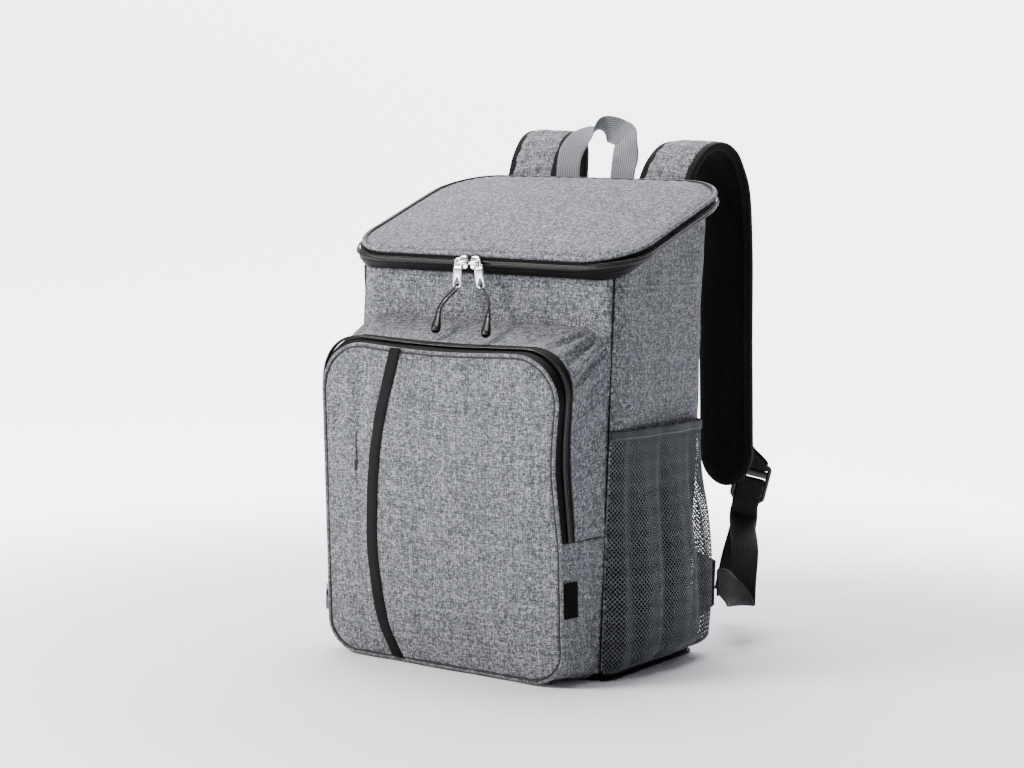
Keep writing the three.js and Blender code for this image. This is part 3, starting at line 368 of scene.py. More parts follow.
def melange(name, stops, seed):
    """Woven two-tone polyester. Warp and weft are dashed yarns, and at each crossing of the plain weave
    one of them is on top; the yarns' round backs give the relief, and slow clouds change the shade."""
    material, tree, shader = new_material(name, Roughness=0.88, Sheen_Weight=0.08, Sheen_Roughness=0.5)
    uv = add_node(tree, "ShaderNodeUVMap", uv_map="cloth").outputs["UV"]
    split = add_node(tree, "ShaderNodeSeparateXYZ", {"Vector": uv})
    u, v = split.outputs["X"], split.outputs["Y"]
    warp, weft = dashes(tree, u, v, seed), dashes(tree, v, u, seed + 40)
    wave_u = maths(tree, "SINE", maths(tree, "MULTIPLY", u, math.pi / THREAD))
    wave_v = maths(tree, "SINE", maths(tree, "MULTIPLY", v, math.pi / THREAD))
    on_top = maths(tree, "GREATER_THAN", maths(tree, "MULTIPLY", wave_u, wave_v), 0.0)
    under = maths(tree, "SUBTRACT", 1.0, on_top)
    yarns = maths(tree, "ADD", maths(tree, "MULTIPLY", warp, on_top), maths(tree, "MULTIPLY", weft, under))
    both = maths(tree, "ADD", maths(tree, "MULTIPLY", warp, 0.3), maths(tree, "MULTIPLY", weft, 0.3))
    cloud = noise(tree, scaled(tree, uv, (22, 16, 1)), 3.0)
    soft = maths(tree, "ADD", maths(tree, "MULTIPLY", yarns, 0.4), maths(tree, "MULTIPLY", cloud, 0.07))
    shade = maths(tree, "SUBTRACT", maths(tree, "ADD", soft, both), 0.035)
    tree.links.new(ramp(tree, shade, stops), shader.inputs["Base Color"])
    back = maths(tree, "MULTIPLY", maths(tree, "ABSOLUTE", wave_u), maths(tree, "ABSOLUTE", wave_v))
    relief = maths(tree, "ADD", back, maths(tree, "MULTIPLY", yarns, 0.5))
    bump = add_node(tree, "ShaderNodeBump", {"Strength": 0.5, "Distance": 0.0004, "Height": relief})
    tree.links.new(bump.outputs["Normal"], shader.inputs["Normal"])
    return material


MELANGE_STOPS = [(0.2, "#2f3236"), (0.4, "#4a4d52"), (0.6, "#6a6d73"), (0.8, "#9fa2a7")]
cloth_body = melange("woven_melange_polyester", MELANGE_STOPS, 1)
cloth_lid = melange("woven_melange_polyester_lid", MELANGE_STOPS, 2)


# %% Tapes, webbing, elastic, net and thread
def woven(name, colours, rib_across, rib_along, roughness, depth, sheen=0.0, speckle=0.25):
    """A ribbed weave on the UV map: u runs round or across the band, v along it. Each rib is a sine wave;
    the two multiply to small lozenges, as filling yarn crosses the ribs."""
    material, tree, shader = new_material(
        name, Roughness=roughness, Sheen_Weight=sheen, Specular_IOR_Level=0.15
    )
    uv = add_node(tree, "ShaderNodeUVMap", uv_map="cloth").outputs["UV"]
    split = add_node(tree, "ShaderNodeSeparateXYZ", {"Vector": uv})
    parts = []
    for socket, pitch in (("X", rib_across), ("Y", rib_along)):
        turned = maths(tree, "MULTIPLY", split.outputs[socket], 2 * math.pi / pitch)
        parts.append(maths(tree, "SINE", turned))
    cross = maths(tree, "MULTIPLY", parts[0], parts[1])
    ribs = maths(tree, "ADD", maths(tree, "MULTIPLY", parts[0], 0.3), maths(tree, "MULTIPLY", cross, 0.3))
    fine = noise(tree, scaled(tree, uv, (1 / 0.0009, 1 / 0.0014, 1)), 2.0)
    height = maths(tree, "ADD", ribs, maths(tree, "MULTIPLY", fine, speckle))
    factor = maths(tree, "ADD", maths(tree, "MULTIPLY", height, 0.5), 0.45)
    tree.links.new(ramp(tree, factor, colours), shader.inputs["Base Color"])
    bump = add_node(tree, "ShaderNodeBump", {"Strength": 0.6, "Distance": depth, "Height": height})
    tree.links.new(bump.outputs["Normal"], shader.inputs["Normal"])
    return material


webbing_grey = woven(
    "woven_polypropylene_webbing", [(0.2, "#34363a"), (0.5, "#686b70"), (0.8, "#a5a8ad")], 2.0e-3, 1.7e-3,
    0.7, 0.0005
)
webbing_dark = woven(
    "woven_polypropylene_webbing_dark", [(0.2, "#040405"), (0.5, "#0d0e0f"), (0.8, "#232529")], 2.2e-3,
    1.5e-3, 0.5, 0.0006
)
tape_black = woven(
    "woven_zip_tape", [(0.2, "#010101"), (0.6, "#040404"), (0.9, "#0e0f10")], 1.3e-3, 1.3e-3, 0.62, 0.0003
)
binding_black = woven(
    "grosgrain_binding", [(0.2, "#010101"), (0.6, "#030303"), (0.9, "#0b0c0d")], 0.9e-3, 2.6e-3, 0.7, 0.0003
)
elastic_grey = woven(
    "knitted_elastic", [(0.2, "#212327"), (0.6, "#3f4246"), (0.9, "#5d6065")], 1.6e-3, 1.2e-3, 0.7, 0.0004
)
spacer_mesh = woven(
    "knitted_spacer_mesh", [(0.3, "#010101"), (0.6, "#020202"), (0.9, "#050505")], 2.6e-3, 2.6e-3, 0.9,
    0.0008
)
bottom_cloth = woven(
    "coated_oxford_cloth", [(0.2, "#050506"), (0.6, "#0c0d0e"), (0.9, "#1c1d1f")], 1.2e-3, 1.2e-3, 0.7,
    0.0003
)


def plain(name, code, roughness, size, depth, contrast=0.12, **constants):
    """Moulded or spun matter: one colour with a little noise in shade and relief of a given grain size."""
    material, tree, shader = new_material(name, Roughness=roughness, **constants)
    place = add_node(tree, "ShaderNodeTexCoord").outputs["Object"]
    grain = noise(tree, scaled(tree, place, (1 / size,) * 3), 3.0)
    base = linear(code)
    dark = [c * (1 - contrast) for c in base[:3]] + [1.0]
    light = [min(1.0, c * (1 + contrast)) for c in base[:3]] + [1.0]
    node = add_node(tree, "ShaderNodeValToRGB", {"Fac": grain})
    node.color_ramp.elements[0].color, node.color_ramp.elements[1].color = dark, light
    tree.links.new(node.outputs["Color"], shader.inputs["Base Color"])
    bump = add_node(tree, "ShaderNodeBump", {"Strength": 0.4, "Distance": depth, "Height": grain})
    tree.links.new(bump.outputs["Normal"], shader.inputs["Normal"])
    return material


net_yarn = plain("knitted_net_yarn", "#666a70", 0.6, 0.0007, 0.0002, 0.35)
# Painted shade: a near-black second net set just behind the real one, for the shade seen through its gaps.
net_shade = plain("net_painted_shade_behind", "#040505", 0.8, 0.0007, 0.0002, 0.3, Specular_IOR_Level=0.2)
thread_grey = plain("sewing_thread_grey", "#7b7e83", 0.7, 0.0005, 0.0001, 0.2)
# Black sewing thread for real seams; the same black also draws painted shade in the grooves inside the lid's and
# pocket's pipings and at the slit's lower end.
black_thread_and_painted_shade = plain("sewing_thread_and_painted_shade_black", "#040404", 0.6, 0.0005, 0.0001, 0.3)
coil_black = plain("nylon_zip_coil", "#121214", 0.22, 0.0008, 0.0001, 0.3)
cord_black = plain("braided_cord", "#040404", 0.55, 0.0006, 0.0002, 0.4)
label_satin = plain("woven_label", "#030303", 0.9, 0.0006, 0.00005, 0.2, Specular_IOR_Level=0.1)
moulded_black = plain("moulded_acetal", "#050505", 0.3, 0.0012, 0.00005, 0.2)
silver = plain("plated_zinc", "#f1f2f4", 0.22, 0.002, 0.00002, 0.05, Metallic=1.0)
print("materials:", len(bpy.data.materials))

# %% [markdown]
# ## The pull cords come first
#
# Each lid pull has one thin braided cord. It runs from its moulded grip up in front of the pull, through
# the hole and down behind it, back into the grip, and the grip rests on the pocket's top. The route's
# points are the same as in the part's source, in metres.

# %% Pull cords
CORD_RADIUS = 0.8
CORD_ROUTES = {
    "left": [
        (-0.0219, -0.1226, 0.3152), (-0.0216, -0.1195, 0.3195), (-0.0196, -0.1158, 0.3250),
        (-0.0164, -0.1126, 0.3298), (-0.0134, -0.1106, 0.3336), (-0.0121, -0.1098, 0.3360),
        (-0.0119, -0.1078, 0.3372), (-0.0120, -0.1059, 0.3360), (-0.0128, -0.1060, 0.3329),
        (-0.0152, -0.1090, 0.3290), (-0.0184, -0.1129, 0.3236), (-0.0202, -0.1176, 0.3183),
        (-0.0201, -0.1206, 0.3144),
    ],
    "right": [
        (0.0297, -0.1228, 0.3146), (0.0292, -0.1202, 0.3190), (0.0274, -0.1172, 0.3242),
        (0.0236, -0.1140, 0.3294), (0.0182, -0.1116, 0.3334), (0.0140, -0.1100, 0.3362),
        (0.0127, -0.1078, 0.3376), (0.0130, -0.1059, 0.3364), (0.0154, -0.1058, 0.3330),
        (0.0206, -0.1086, 0.3294), (0.0256, -0.1126, 0.3246), (0.0286, -0.1170, 0.3190),
        (0.0309, -0.1206, 0.3136),
    ],
}


def finish_piece(piece, slot, *nodes):
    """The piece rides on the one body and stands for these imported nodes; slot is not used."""
    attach(piece, BODY)
    if nodes:
        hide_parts(*nodes)
    return piece


cords = {}
for side, route in CORD_ROUTES.items():
    path = spline(np.array(route) / MM, 90)
    twist = np.linspace(0, 40 * np.pi, len(path))[:, None]
    ring = np.linspace(0, 2 * np.pi, 12, endpoint=False)[None]
    swell = CORD_RADIUS * (1 + 0.05 * np.cos(4 * ring + twist))
    section = np.stack([swell * np.cos(ring), swell * np.sin(ring)], -1)
    cords[side] = skin("cord_" + side, sweep(path, [1.0, 0.2, 0.0], section), cord_black)
    finish_piece(cords[side], "cord", "pull_cord_" + side)
    print("cord", side, "mm:", round(lengths(path)[-1], 1))

# %% [markdown]
# ## The grips
#
# Each grip is moulded round the cord's two ends: narrow at its neck, wider at its end, with shallow rings
# for the fingers. It is a profile turned round its axis, a little flatter than it is wide.

# %% Moulded grips
GRIP_LENGTH, GRIP_GAP = 25.0, 0.7
GRIP_ENDS = {"left": (-13.5, -137.5, 297.0), "right": (38.5, -137.5, 296.0)}


def grip_radius(t):
    """The radius along the grip, t from 0 to 1: a collar, a waist, a slow swell and a round end."""
    collar = 2.7 * (1 - smooth(0.1, 0.2, t)) + 2.5 * smooth(0.1, 0.2, t)
    swell = 1.9 * smooth(0.15, 0.85, t)
    rings = 0.16 * np.cos(2 * np.pi * t * 11) * smooth(0.3, 0.42, t) * (1 - smooth(0.78, 0.9, t))
    ends = np.sqrt(np.clip(1 - (np.abs(2 * t - 1)) ** 14, 0, 1))
    return (collar + swell + rings) * ends + 0.02


for side, route in CORD_ROUTES.items():
    top = (np.array(route[0]) + np.array(route[-1])) / 2 / MM
    axis = unit(np.array(GRIP_ENDS[side]) - top)
    t = (1 - np.cos(np.linspace(0, np.pi, 80))) / 2
    path = top + axis * (GRIP_GAP + t[:, None] * GRIP_LENGTH)
    ring = np.linspace(0, 2 * np.pi, 24, endpoint=False)[None]
    section = grip_radius(t)[:, None, None] * np.stack([1.0 * np.cos(ring), 0.86 * np.sin(ring)], -1)
    grip = skin("grip_" + side, sweep(path, [1.0, 0.0, 0.0], section), moulded_black)
    finish_piece(grip, "moulded", "pull_grip_" + side)
    path = spline(np.array(route) / MM, 90) * MM

# %% [markdown]
# ## The main compartment
#
# Four padded panels are sewn together at the upright corners. Each is cut from one length of cloth and
# foam, so it is a wall 6 mm thick that follows a rounded rectangle, with its upper edge sloping up to the
# back. Soft dents and the puckers that stitching pulls into the edges are added along its outward
# direction.

# %% The bag's outlines
BODY_FRONT_HEIGHT, LID_SLOPE, BAND_HEIGHT = 347.0, 0.3465, 21.4
BODY_FLOOR = 6.3
BODY_SHAPE = {"half_width": 137.5, "half_depth": 87.5, "radius": 22.0, "centre_y": 0.0}
LID_SHAPE = {"half_width": 150.0, "half_depth": 101.1, "radius": 49.0, "centre_y": 1.1}
WALL, SEAM = 6.0, 0.3
PIPING, SEAM_PIPING = 2.2, 1.7


def body_top(y):
    """The upper edge of the body's walls: a straight line that rises towards the back."""
    return BODY_FRONT_HEIGHT + LID_SLOPE * (y + BODY_SHAPE["half_depth"])


def lid_plane(y):
    """The height of the lid's piping."""
    return body_top(y) + BAND_HEIGHT


def quarter(shape, face, run, trim=0.0):
    """Points (x, y) and outward directions along a quarter of a rounded rectangle.

    run goes from 0 to 1 by length: half of one corner's arc, a straight side, half of the next arc. Faces
    0 to 3 are front, right, back and left; each is the front one turned by a right angle.
    """
    width, depth = shape["half_width"], shape["half_depth"]
    across = (width if face % 2 == 0 else depth) - shape["radius"]
    out = (depth if face % 2 == 0 else width) - shape["radius"]
    arc = shape["radius"] * math.pi / 4 - trim
    s = np.asarray(run, float) * 2 * (arc + across) - (arc + across)
    angle = np.sign(s) * np.clip(np.abs(s) - across, 0, None) / shape["radius"]
    x = np.clip(s, -across, across) + shape["radius"] * np.sin(angle)
    y = -out - shape["radius"] * np.cos(angle)
    nx, ny = np.sin(angle), -np.cos(angle)
    c, t = [1, 0, -1, 0][face], [0, 1, 0, -1][face]
    spot = np.stack([x * c - y * t, x * t + y * c + shape["centre_y"]], -1)
    return spot, np.stack([nx * c - ny * t, nx * t + ny * c], -1), s


def lid_settled(points):
    """The lid's points, drawn in 6 mm at its front left corner, where the photograph's lid hangs askew."""
    x, y = points[..., 0], points[..., 1]
    pull = 6.0 * smooth(-40, -150, x) * smooth(70, -70, y)
    return points + np.stack([pull, 0 * pull, 0 * pull], -1)


def raised(spot, z):
    """Outline points (x, y) lifted to a height."""
    return np.concatenate([spot, np.broadcast_to(z, spot.shape[:-1])[..., None]], -1)


# face, distance along from the middle, height, depth, half width, half height, lean: all in mm but lean
BODY_DENTS = [
    (1, -72, 118, -4.6, 9, 34, 0.0), (1, -66, 150, 1.2, 12, 24, 0.0), (1, 22, 372, -2.2, 34, 16, 0.3),
    (1, -34, 352, -1.4, 26, 12, -0.5), (1, 46, 250, -1.2, 22, 46, 0.0), (1, -40, 262, 1.0, 26, 34, 0.0),
    (1, 60, 390, -2.4, 16, 26, 0.0), (1, -70, 262, -1.8, 8, 30, 0.0), (1, -71, 205, 1.0, 8, 22, 0.0),
    (3, 12, 360, -2.0, 30, 14, 0.2), (3, -40, 280, -1.4, 20, 40, 0.0), (3, 40, 230, 1.0, 26, 40, 0.0),
    (0, 0, 334, -1.6, 60, 14, 0.0), (0, -88, 322, -2.2, 22, 12, 0.5), (0, 92, 318, -2.6, 26, 10, -0.4),
    (0, 40, 326, 1.0, 26, 9, 0.0), (2, 0, 210, 2.2, 80, 90, 0.0), (2, -60, 330, -1.4, 30, 26, 0.2),
]


def body_soft(face, s, z):
    """How far the cloth stands in or out: the table's dents, stitch puckers that fade in 14 mm from the
    upright seams, and slow ripples."""
    total = 0.5 * waves(s, z, 90, 11 + face) + 0.16 * waves(s, z, 26, 21 + face)
    for on, at, up, depth, wide, tall, lean in BODY_DENTS:
        if on == face:
            total = total + depth * bell(s - at - lean * (z - up), 0, wide) * bell(z, up, tall)
    reach = (BODY_SHAPE["half_width"] if face % 2 == 0 else BODY_SHAPE["half_depth"]) - 5
    near = np.exp(-np.clip(reach - np.abs(s), 0, None) / 7)
    pucker = np.sin(2 * np.pi * z / 9.5 + 2.2 * waves(z, z * 0, 60, 31 + face))
    return total + 0.34 * near * pucker


def body_panel(face, name, node):
    """One padded wall: out along the outer face and back along the inner one, 6 mm behind it."""
    run, up = np.meshgrid(np.linspace(0, 1, 150), np.linspace(0, 1, 170))
    spot, normal, s = quarter(BODY_SHAPE, face, run, SEAM)
    z = BODY_FLOOR + up * (body_top(spot[..., 1]) - BODY_FLOOR)
    soft = body_soft(face, s, z)
    # the edge that is sewn to the corner piping turns in a little
    reach = np.abs(s).max()
    turn_in = -0.9 * np.exp(-(reach - np.abs(s)) / 1.6)
    outer = raised(spot + normal * (soft + turn_in)[..., None], z)
    inner = raised(spot - normal * (WALL - soft)[..., None], z)
    flat = np.stack([s + 400 * face, z], -1)
    piece = slab(name, outer, inner, cloth_body, flat)
    return finish_piece(piece, "melange_cloth", node)


WALLS = [
    ("front_wall", "front_panel"), ("right_wall", "side_panel_right"), ("back_wall", "back_panel"),
    ("left_wall", "side_panel_left")
]
for face, (name, node) in enumerate(WALLS):
    body_panel(face, name, node)

# %% [markdown]
# ## Seams, pipings and the bottom
#
# A piping is a strip of cloth sewn round a cord, with its two edges caught in the seam, so it shows as an
# even tube that the stitching pinches a little. The front corners have thin black ones and the back
# corners ones of the bag's cloth. The bottom is coated black cloth over a stiff board.

# %% Corner seams, bottom piping and bottom
def piping(name, path, radius, side, material, slot, nodes, loop=False, pinch=0.05, sides=14):
    """A tube along a path: radius 1 + pinch cos(2 pi s / 4.2), where s is the length in mm."""
    run = lengths(path)[:, None, None]
    ring = np.linspace(0, 2 * np.pi, sides, endpoint=False)[None, :, None]
    swell = radius * (1 - pinch + pinch * np.cos(2 * np.pi * run / 4.2))
    section = np.concatenate([swell * np.cos(ring), swell * np.sin(ring)], -1)
    piece = skin(name, sweep(path, side, section, loop), material, loop=loop)
    return finish_piece(piece, slot, *nodes)


FRONT_CORNER_TUBE, BACK_CORNER_TUBE = 0.75, 1.4
BOTTOM_TUBE, BOTTOM_TUBE_HEIGHT = 1.25, 1.3
CORNERS = ["front_left", "front_right", "back_right", "back_left"]
for face, name in enumerate(CORNERS):
    spot, normal, _ = quarter(BODY_SHAPE, face, np.zeros(1))
    z = np.linspace(4.4, body_top(spot[0, 1]) - 0.4, 260)
    soft = body_soft(face, np.full_like(z, -75.0), z)
    sway = 0.5 * waves(z, z * 0, 70, 50 + face) + np.clip(soft, -2.2, 1.0)
    path = raised(spot + normal * (0.1 + sway[:, None] * 0.7), z)
    front = face < 2
    cloth, slot = (binding_black, "black_cloth") if front else (cloth_body, "melange_cloth")
    piping(
        "corner_piping_" + name, path, FRONT_CORNER_TUBE if front else BACK_CORNER_TUBE, [
            1.0, 0.0, 0.0
        ], cloth, slot,
        ["corner_seam_" + name]
    )

runs = [quarter(BODY_SHAPE, face, np.linspace(0, 1, 110)) for face in (1, 2, 3)]
spots = np.concatenate([run[0] for run in runs])
normals = np.concatenate([run[1] for run in runs])
keep = np.concatenate([[True], np.linalg.norm(np.diff(spots, axis=0), axis=1) > 1e-6])
spots, normals = spots[keep], normals[keep]
path = raised(spots + normals * (SEAM_PIPING + SEAM), BOTTOM_TUBE_HEIGHT)
piping(
    "bottom_edge_piping", path, BOTTOM_TUBE, [0.0, 0.0, 1.0], binding_black, "black_cloth",
    ["bottom_piping"]
)


def square_to_outline(outline, cells):
    """A grid of cells by cells that fills a closed outline: each square ring round the middle is the
    outline scaled down, so its quads stay nearly square. Returns the share from the middle, 0 to 1, and
    the outline point (..., 2) and its outward direction that every grid point lies under."""
    a, b = np.meshgrid(np.linspace(-1, 1, cells), np.linspace(-1, 1, cells), indexing="ij")
    share = np.maximum(np.abs(a), np.abs(b))
    safe = np.maximum(share, 1e-9)
    a, b = a / safe, b / safe
    turn = np.where(
        b <= -1 + 1e-9, (a + 1) / 2, np.where(
            a >= 1 - 1e-9, 1 + (b + 1) / 2, np.where(b >= 1 - 1e-9, 2 + (1 - a) / 2, 3 + (1 - b) / 2)
        )
    )
    return share, *outline(turn % 4)


def round_outline(shape):
    """The closed outline as a function of turn from 0 to 4: one unit for each quarter."""
    def at(turn):
        face = np.minimum(turn.astype(int), 3)
        found = [quarter(shape, k, turn - face) for k in range(4)]
        spot = sum(np.where((face == k)[..., None], found[k][0], 0) for k in range(4))
        normal = sum(np.where((face == k)[..., None], found[k][1], 0) for k in range(4))
        return spot, normal
    return at


share, spot, _ = square_to_outline(round_outline(BODY_SHAPE), 90)
flat = spot * share[..., None]
under = raised(flat, 0.0 + 0.5 * smooth(0.985, 1.0, share))
over = raised(flat, 6.0 - 0.4 * smooth(0.985, 1.0, share))
finish_piece(slab("bottom_board", over, under, bottom_cloth, flat), "black_cloth", "bottom_panel")

# %% [markdown]
# ## The lid's zip band
#
# Between body and lid runs a band of black tape that swells outwards: a lower tape sewn to the body, the
# coil, and an upper tape sewn to the lid's piping. At the back a strip of the bag's cloth is the hinge.
# Both tapes are folded at their edges, which gives the band the long ridges that catch the light.

# %% The band's surface
OPEN_FACES = (3, 0, 1)
TEETH_SHARE, SLOT_HALF = 0.70, 0.08
TAPE = 1.5


def chain(shape, faces, count):
    """Points and outward directions along several quarters, one after another."""
    parts = [quarter(shape, face, np.linspace(0, 1, count), SEAM) for face in faces]
    spot = np.concatenate([part[0] for part in parts])
    normal = np.concatenate([part[1] for part in parts])
    keep = np.concatenate([[True], np.linalg.norm(np.diff(spot, axis=0), axis=1) > 0.2])
    return spot[keep], normal[keep]


def band(faces, t, out, count=170):
    """The band at heights t, 0 at the body and 1 under the lid's piping: a straight line between the two
    outlines, swollen outwards by a half sine on its open sides. out (rows,) moves it off that surface."""
    low, normal = chain(BODY_SHAPE, faces, count)
    high, _ = chain(LID_SHAPE, faces, count)
    rows = np.asarray(t, float)[:, None, None]
    off = np.asarray(out, float)[:, None, None] - TAPE / 2
    a = raised(low, body_top(low[:, 1]) + SEAM)[None]
    b = lid_settled(raised(high, lid_plane(high[:, 1]) - PIPING - SEAM))[None]
    flat_normal = raised(normal, 0.0)[None]
    swell = 5.0 * np.sin(np.pi * rows) if len(faces) > 1 else 0 * rows
    run = lengths(a[0])
    drape = 0.35 * waves(run, run * 0, 85, 61)[None, :, None] * np.sin(np.pi * rows)
    return a * (1 - rows) + b * rows + flat_normal * (swell + off + drape)


def ridges(t, folds):
    """Small rounded ridges across the tape: each fold is its place, height and half width."""
    return sum(height * bell(t, at, wide) for at, height, wide in folds)


def tape_wall(name, faces, t, folds, material, slot, node, count=170):
    """A tape TAPE thick, with its folds standing out on its outer face only."""
    outer = band(faces, t, TAPE / 2 + ridges(t, folds), count)
    inner = band(faces, t, np.full_like(t, -TAPE / 2), count)
    return finish_piece(
        slab(name, outer.transpose(1, 0, 2), inner.transpose(1, 0, 2), material), slot, node
    )


tape_wall(
    "lower_lid_tape", OPEN_FACES, np.linspace(0, TEETH_SHARE - SLOT_HALF, 34),
    [(0.1, 1.1, 0.07), (0.32, 0.7, 0.05), (0.56, 0.9, 0.035)], tape_black, "black_cloth",
    "lid_zip_tape_lower"
)
tape_wall(
    "upper_lid_tape", OPEN_FACES, np.linspace(TEETH_SHARE + SLOT_HALF, 1, 22),
    [(0.84, 0.8, 0.04), (0.97, 0.6, 0.04)], tape_black, "black_cloth", "lid_zip_tape_upper"
)
tape_wall(
    "lid_hinge_cloth", (2,), np.linspace(0, 1, 24), [(0.03, 0.4, 0.03), (0.97, 0.4, 0.03)], cloth_body,
    "melange_cloth", "lid_hinge_strip"
)

# %% [markdown]
# ## Zip coils
#
# A coil zip is a monofilament wound into a flat spiral along each tape. Closed, the two spirals mesh, and
# the eye sees two rows of tiny slanted bars with a groove between them. Each bar here is a small capsule
# of a few dozen faces, and all of them are written as one array.

# %% Rows of small capsules
def capsules(name, centres, axes, widths, half_length, radius, material, flat=1.0):
    """Many small rounded bars in one mesh: half_length along axes, radius across, squashed by flat along
    the third direction. A bar is a 6-sided tube through 4 rings whose ends close to a small cap."""
    axes, widths = unit(axes), unit(widths - (widths * unit(axes)).sum(-1, keepdims=True) * unit(axes))
    thirds = np.cross(axes, widths)
    along = np.array([-1.0, -0.72, 0.72, 1.0])
    size = np.array([0.45, 1.0, 1.0, 0.45])
    ring = np.linspace(0, 2 * np.pi, 6, endpoint=False)
    points = (
        centres[:, None, None]
        + axes[:, None, None] * (along * half_length)[None, :, None, None]
        + widths[:, None, None] * (size[:, None] * np.cos(ring) * radius)[None, :, :, None]
        + thirds[:, None, None] * (size[:, None] * np.sin(ring) * radius * flat)[None, :, :, None]
    )
    sides, caps = skin_faces(4, 6, False)
    quads = outward(points[0].reshape(-1, 3), np.concatenate([sides, caps]))
    faces = (quads[None] + 24 * np.arange(len(centres))[:, None, None]).reshape(-1, 4)
    return mesh_from(name, points.reshape(-1, 3), faces, None, material)


def resample(path, extra, pitch):
    """A path and what goes with it, at an even pitch in mm."""
    run = lengths(path)
    even = np.arange(pitch / 2, run[-1], pitch)
    both = np.concatenate([path, extra], 1)
    both = np.stack([np.interp(even, run, both[:, k]) for k in range(both.shape[1])], -1)
    return both[:, :3], both[:, 3:]


def coil(name, path, across, node, pitch=1.55, half_gap=1.25, lift=0.9):
    """Two rows of slanted bars either side of a path, over a low dark core."""
    along, across, facing = frames(path, across)
    core = skin(name + "_core", sweep(path, across, round_section(2.3, 0.75, 12, 2.6)), coil_black)
    at, more = resample(path, np.concatenate([along, across, facing], 1), pitch)
    go, side, face = more[:, :3], more[:, 3:6], more[:, 6:]
    centres = np.concatenate(
        [at + side * half_gap + face * lift, at - side * half_gap + face * lift + go * pitch / 2]
    )
    slant = np.concatenate([side + 0.28 * go, side - 0.28 * go])
    bars = capsules(name + "_bars", centres, slant, np.tile(go, (2, 1)), 1.15, 0.5, coil_black, 0.9)
    finish_piece(core, "zip_teeth", node)
    return finish_piece(bars, "zip_teeth", node)


below = band(OPEN_FACES, [TEETH_SHARE - SLOT_HALF], [0.0])[0]
above = band(OPEN_FACES, [TEETH_SHARE + SLOT_HALF], [0.0])[0]
band_lean = unit(above - below)
_, band_normal = chain(BODY_SHAPE, OPEN_FACES, 170)
band_normal = raised(band_normal, 0.0)
band_out = unit(band_normal - (band_normal * band_lean).sum(-1, keepdims=True) * band_lean)
teeth_path = band(OPEN_FACES, [TEETH_SHARE], [0.0])[0] + band_out * (TAPE / 2 + 0.6 + 1.0)


def facing_out(path, across, outwards):
    """The across direction, turned round if along x across points inwards."""
    along = unit(np.gradient(path, axis=0))
    sign = np.sign((np.cross(along, across) * outwards).sum())
    return across * sign


coil("lid_coil", teeth_path, facing_out(teeth_path, band_lean, band_out), "lid_zip_teeth")

# %% [markdown]
# ## The padded lid
#
# The lid is cloth over foam and lining, caught all round by its piping, so it crowns gently and rounds
# over at its edge. It is a dome over a sloping rounded rectangle: the height above the piping's plane is
# 14 mm times 1 minus the share from the middle to the power 2.4, and the edge rolls down to the piping.

# %% Lid and its piping
LID_DOME, LID_THICK = 14.0, 8.0
SEAM_SHADE_INSET, LID_SEAM_SHADE, POCKET_SEAM_SHADE, SEAM_THREAD = 1.9, 0.75, 0.8, 0.5


def lid_face(share, spot, normal, lower):
    """The lid's upper or lower face."""
    edge = spot - normal * (PIPING + SEAM - 0.6)
    x = edge[..., 0] * share
    y = LID_SHAPE["centre_y"] + (edge[..., 1] - LID_SHAPE["centre_y"]) * share
    dome = LID_DOME * (1 - share**2.4)
    if lower:
        return lid_settled(
            np.stack([x, y, lid_plane(y) + dome - (LID_THICK * (1 - share**4) + 1.6 * share**4)], -1)
        )
    roll = 1.9 * share**8 - 2.2 * smooth(0.955, 1.0, share)
    soft = (0.7 * waves(x, y, 120, 71) + 0.25 * waves(x, y, 45, 72)) * (1 - share**6)
    # the photograph's lid lies lower at the front left and stands a little higher along its back edge
    sag = -3.0 * bell(x, -95, 60) * bell(y, -50, 60) + 1.6 * bell(x, 30, 110) * bell(y, 80, 40)
    pucker = 0.3 * smooth(0.8, 0.97, share) * (1 - smooth(0.97, 1, share)) * np.sin(
        2 * np.pi * (x + y) / 13
    )
    return lid_settled(
        np.stack([x, y, lid_plane(y) + dome + roll + soft + sag * (1 - share**8) + pucker], -1)
    )


share, spot, normal = square_to_outline(round_outline(LID_SHAPE), 150)
upper, lower = (lid_face(share, spot, normal, low) for low in (False, True))
lid = slab("lid_pad", upper, lower, cloth_lid, upper[..., :2] * [1.0, 1.06])
finish_piece(lid, "lid_cloth", "lid_panel")

turn = np.linspace(0, 4, 720, endpoint=False)
spot, normal = round_outline(LID_SHAPE)(turn)
lid_edge = lid_settled(raised(spot, lid_plane(spot[:, 1])))
piping(
    "lid_edge_piping", lid_edge, PIPING, [0.0, 0.0, 1.0], cloth_lid, "lid_cloth", ["lid_piping"], loop=True
)

# Painted shade: a continuous black tube just inside the lid's piping stands for the shaded groove there, over
# the real seam.
inset = lid_settled(raised(spot - normal * SEAM_SHADE_INSET, lid_plane(spot[:, 1]) + 1.25))
piping(
    "lid_seam_and_painted_shade", inset, LID_SEAM_SHADE, [0.0, 0.0, 1.0], black_thread_and_painted_shade, "lid_cloth", [
        "lid_piping"
    ], loop=True,
    sides=8
)

# %% [markdown]
# ## The front pocket
#
# The pocket is a box of cloth: a front panel edged with piping, and a side wall that widens to the seam on
# the body. The zip runs in the side wall over the top, from low on the left to half way down on the right,
# and below its ends the wall is plain cloth. Front and back edges are rounded rectangles with the same
# corners, and the wall is the straight surface between them.

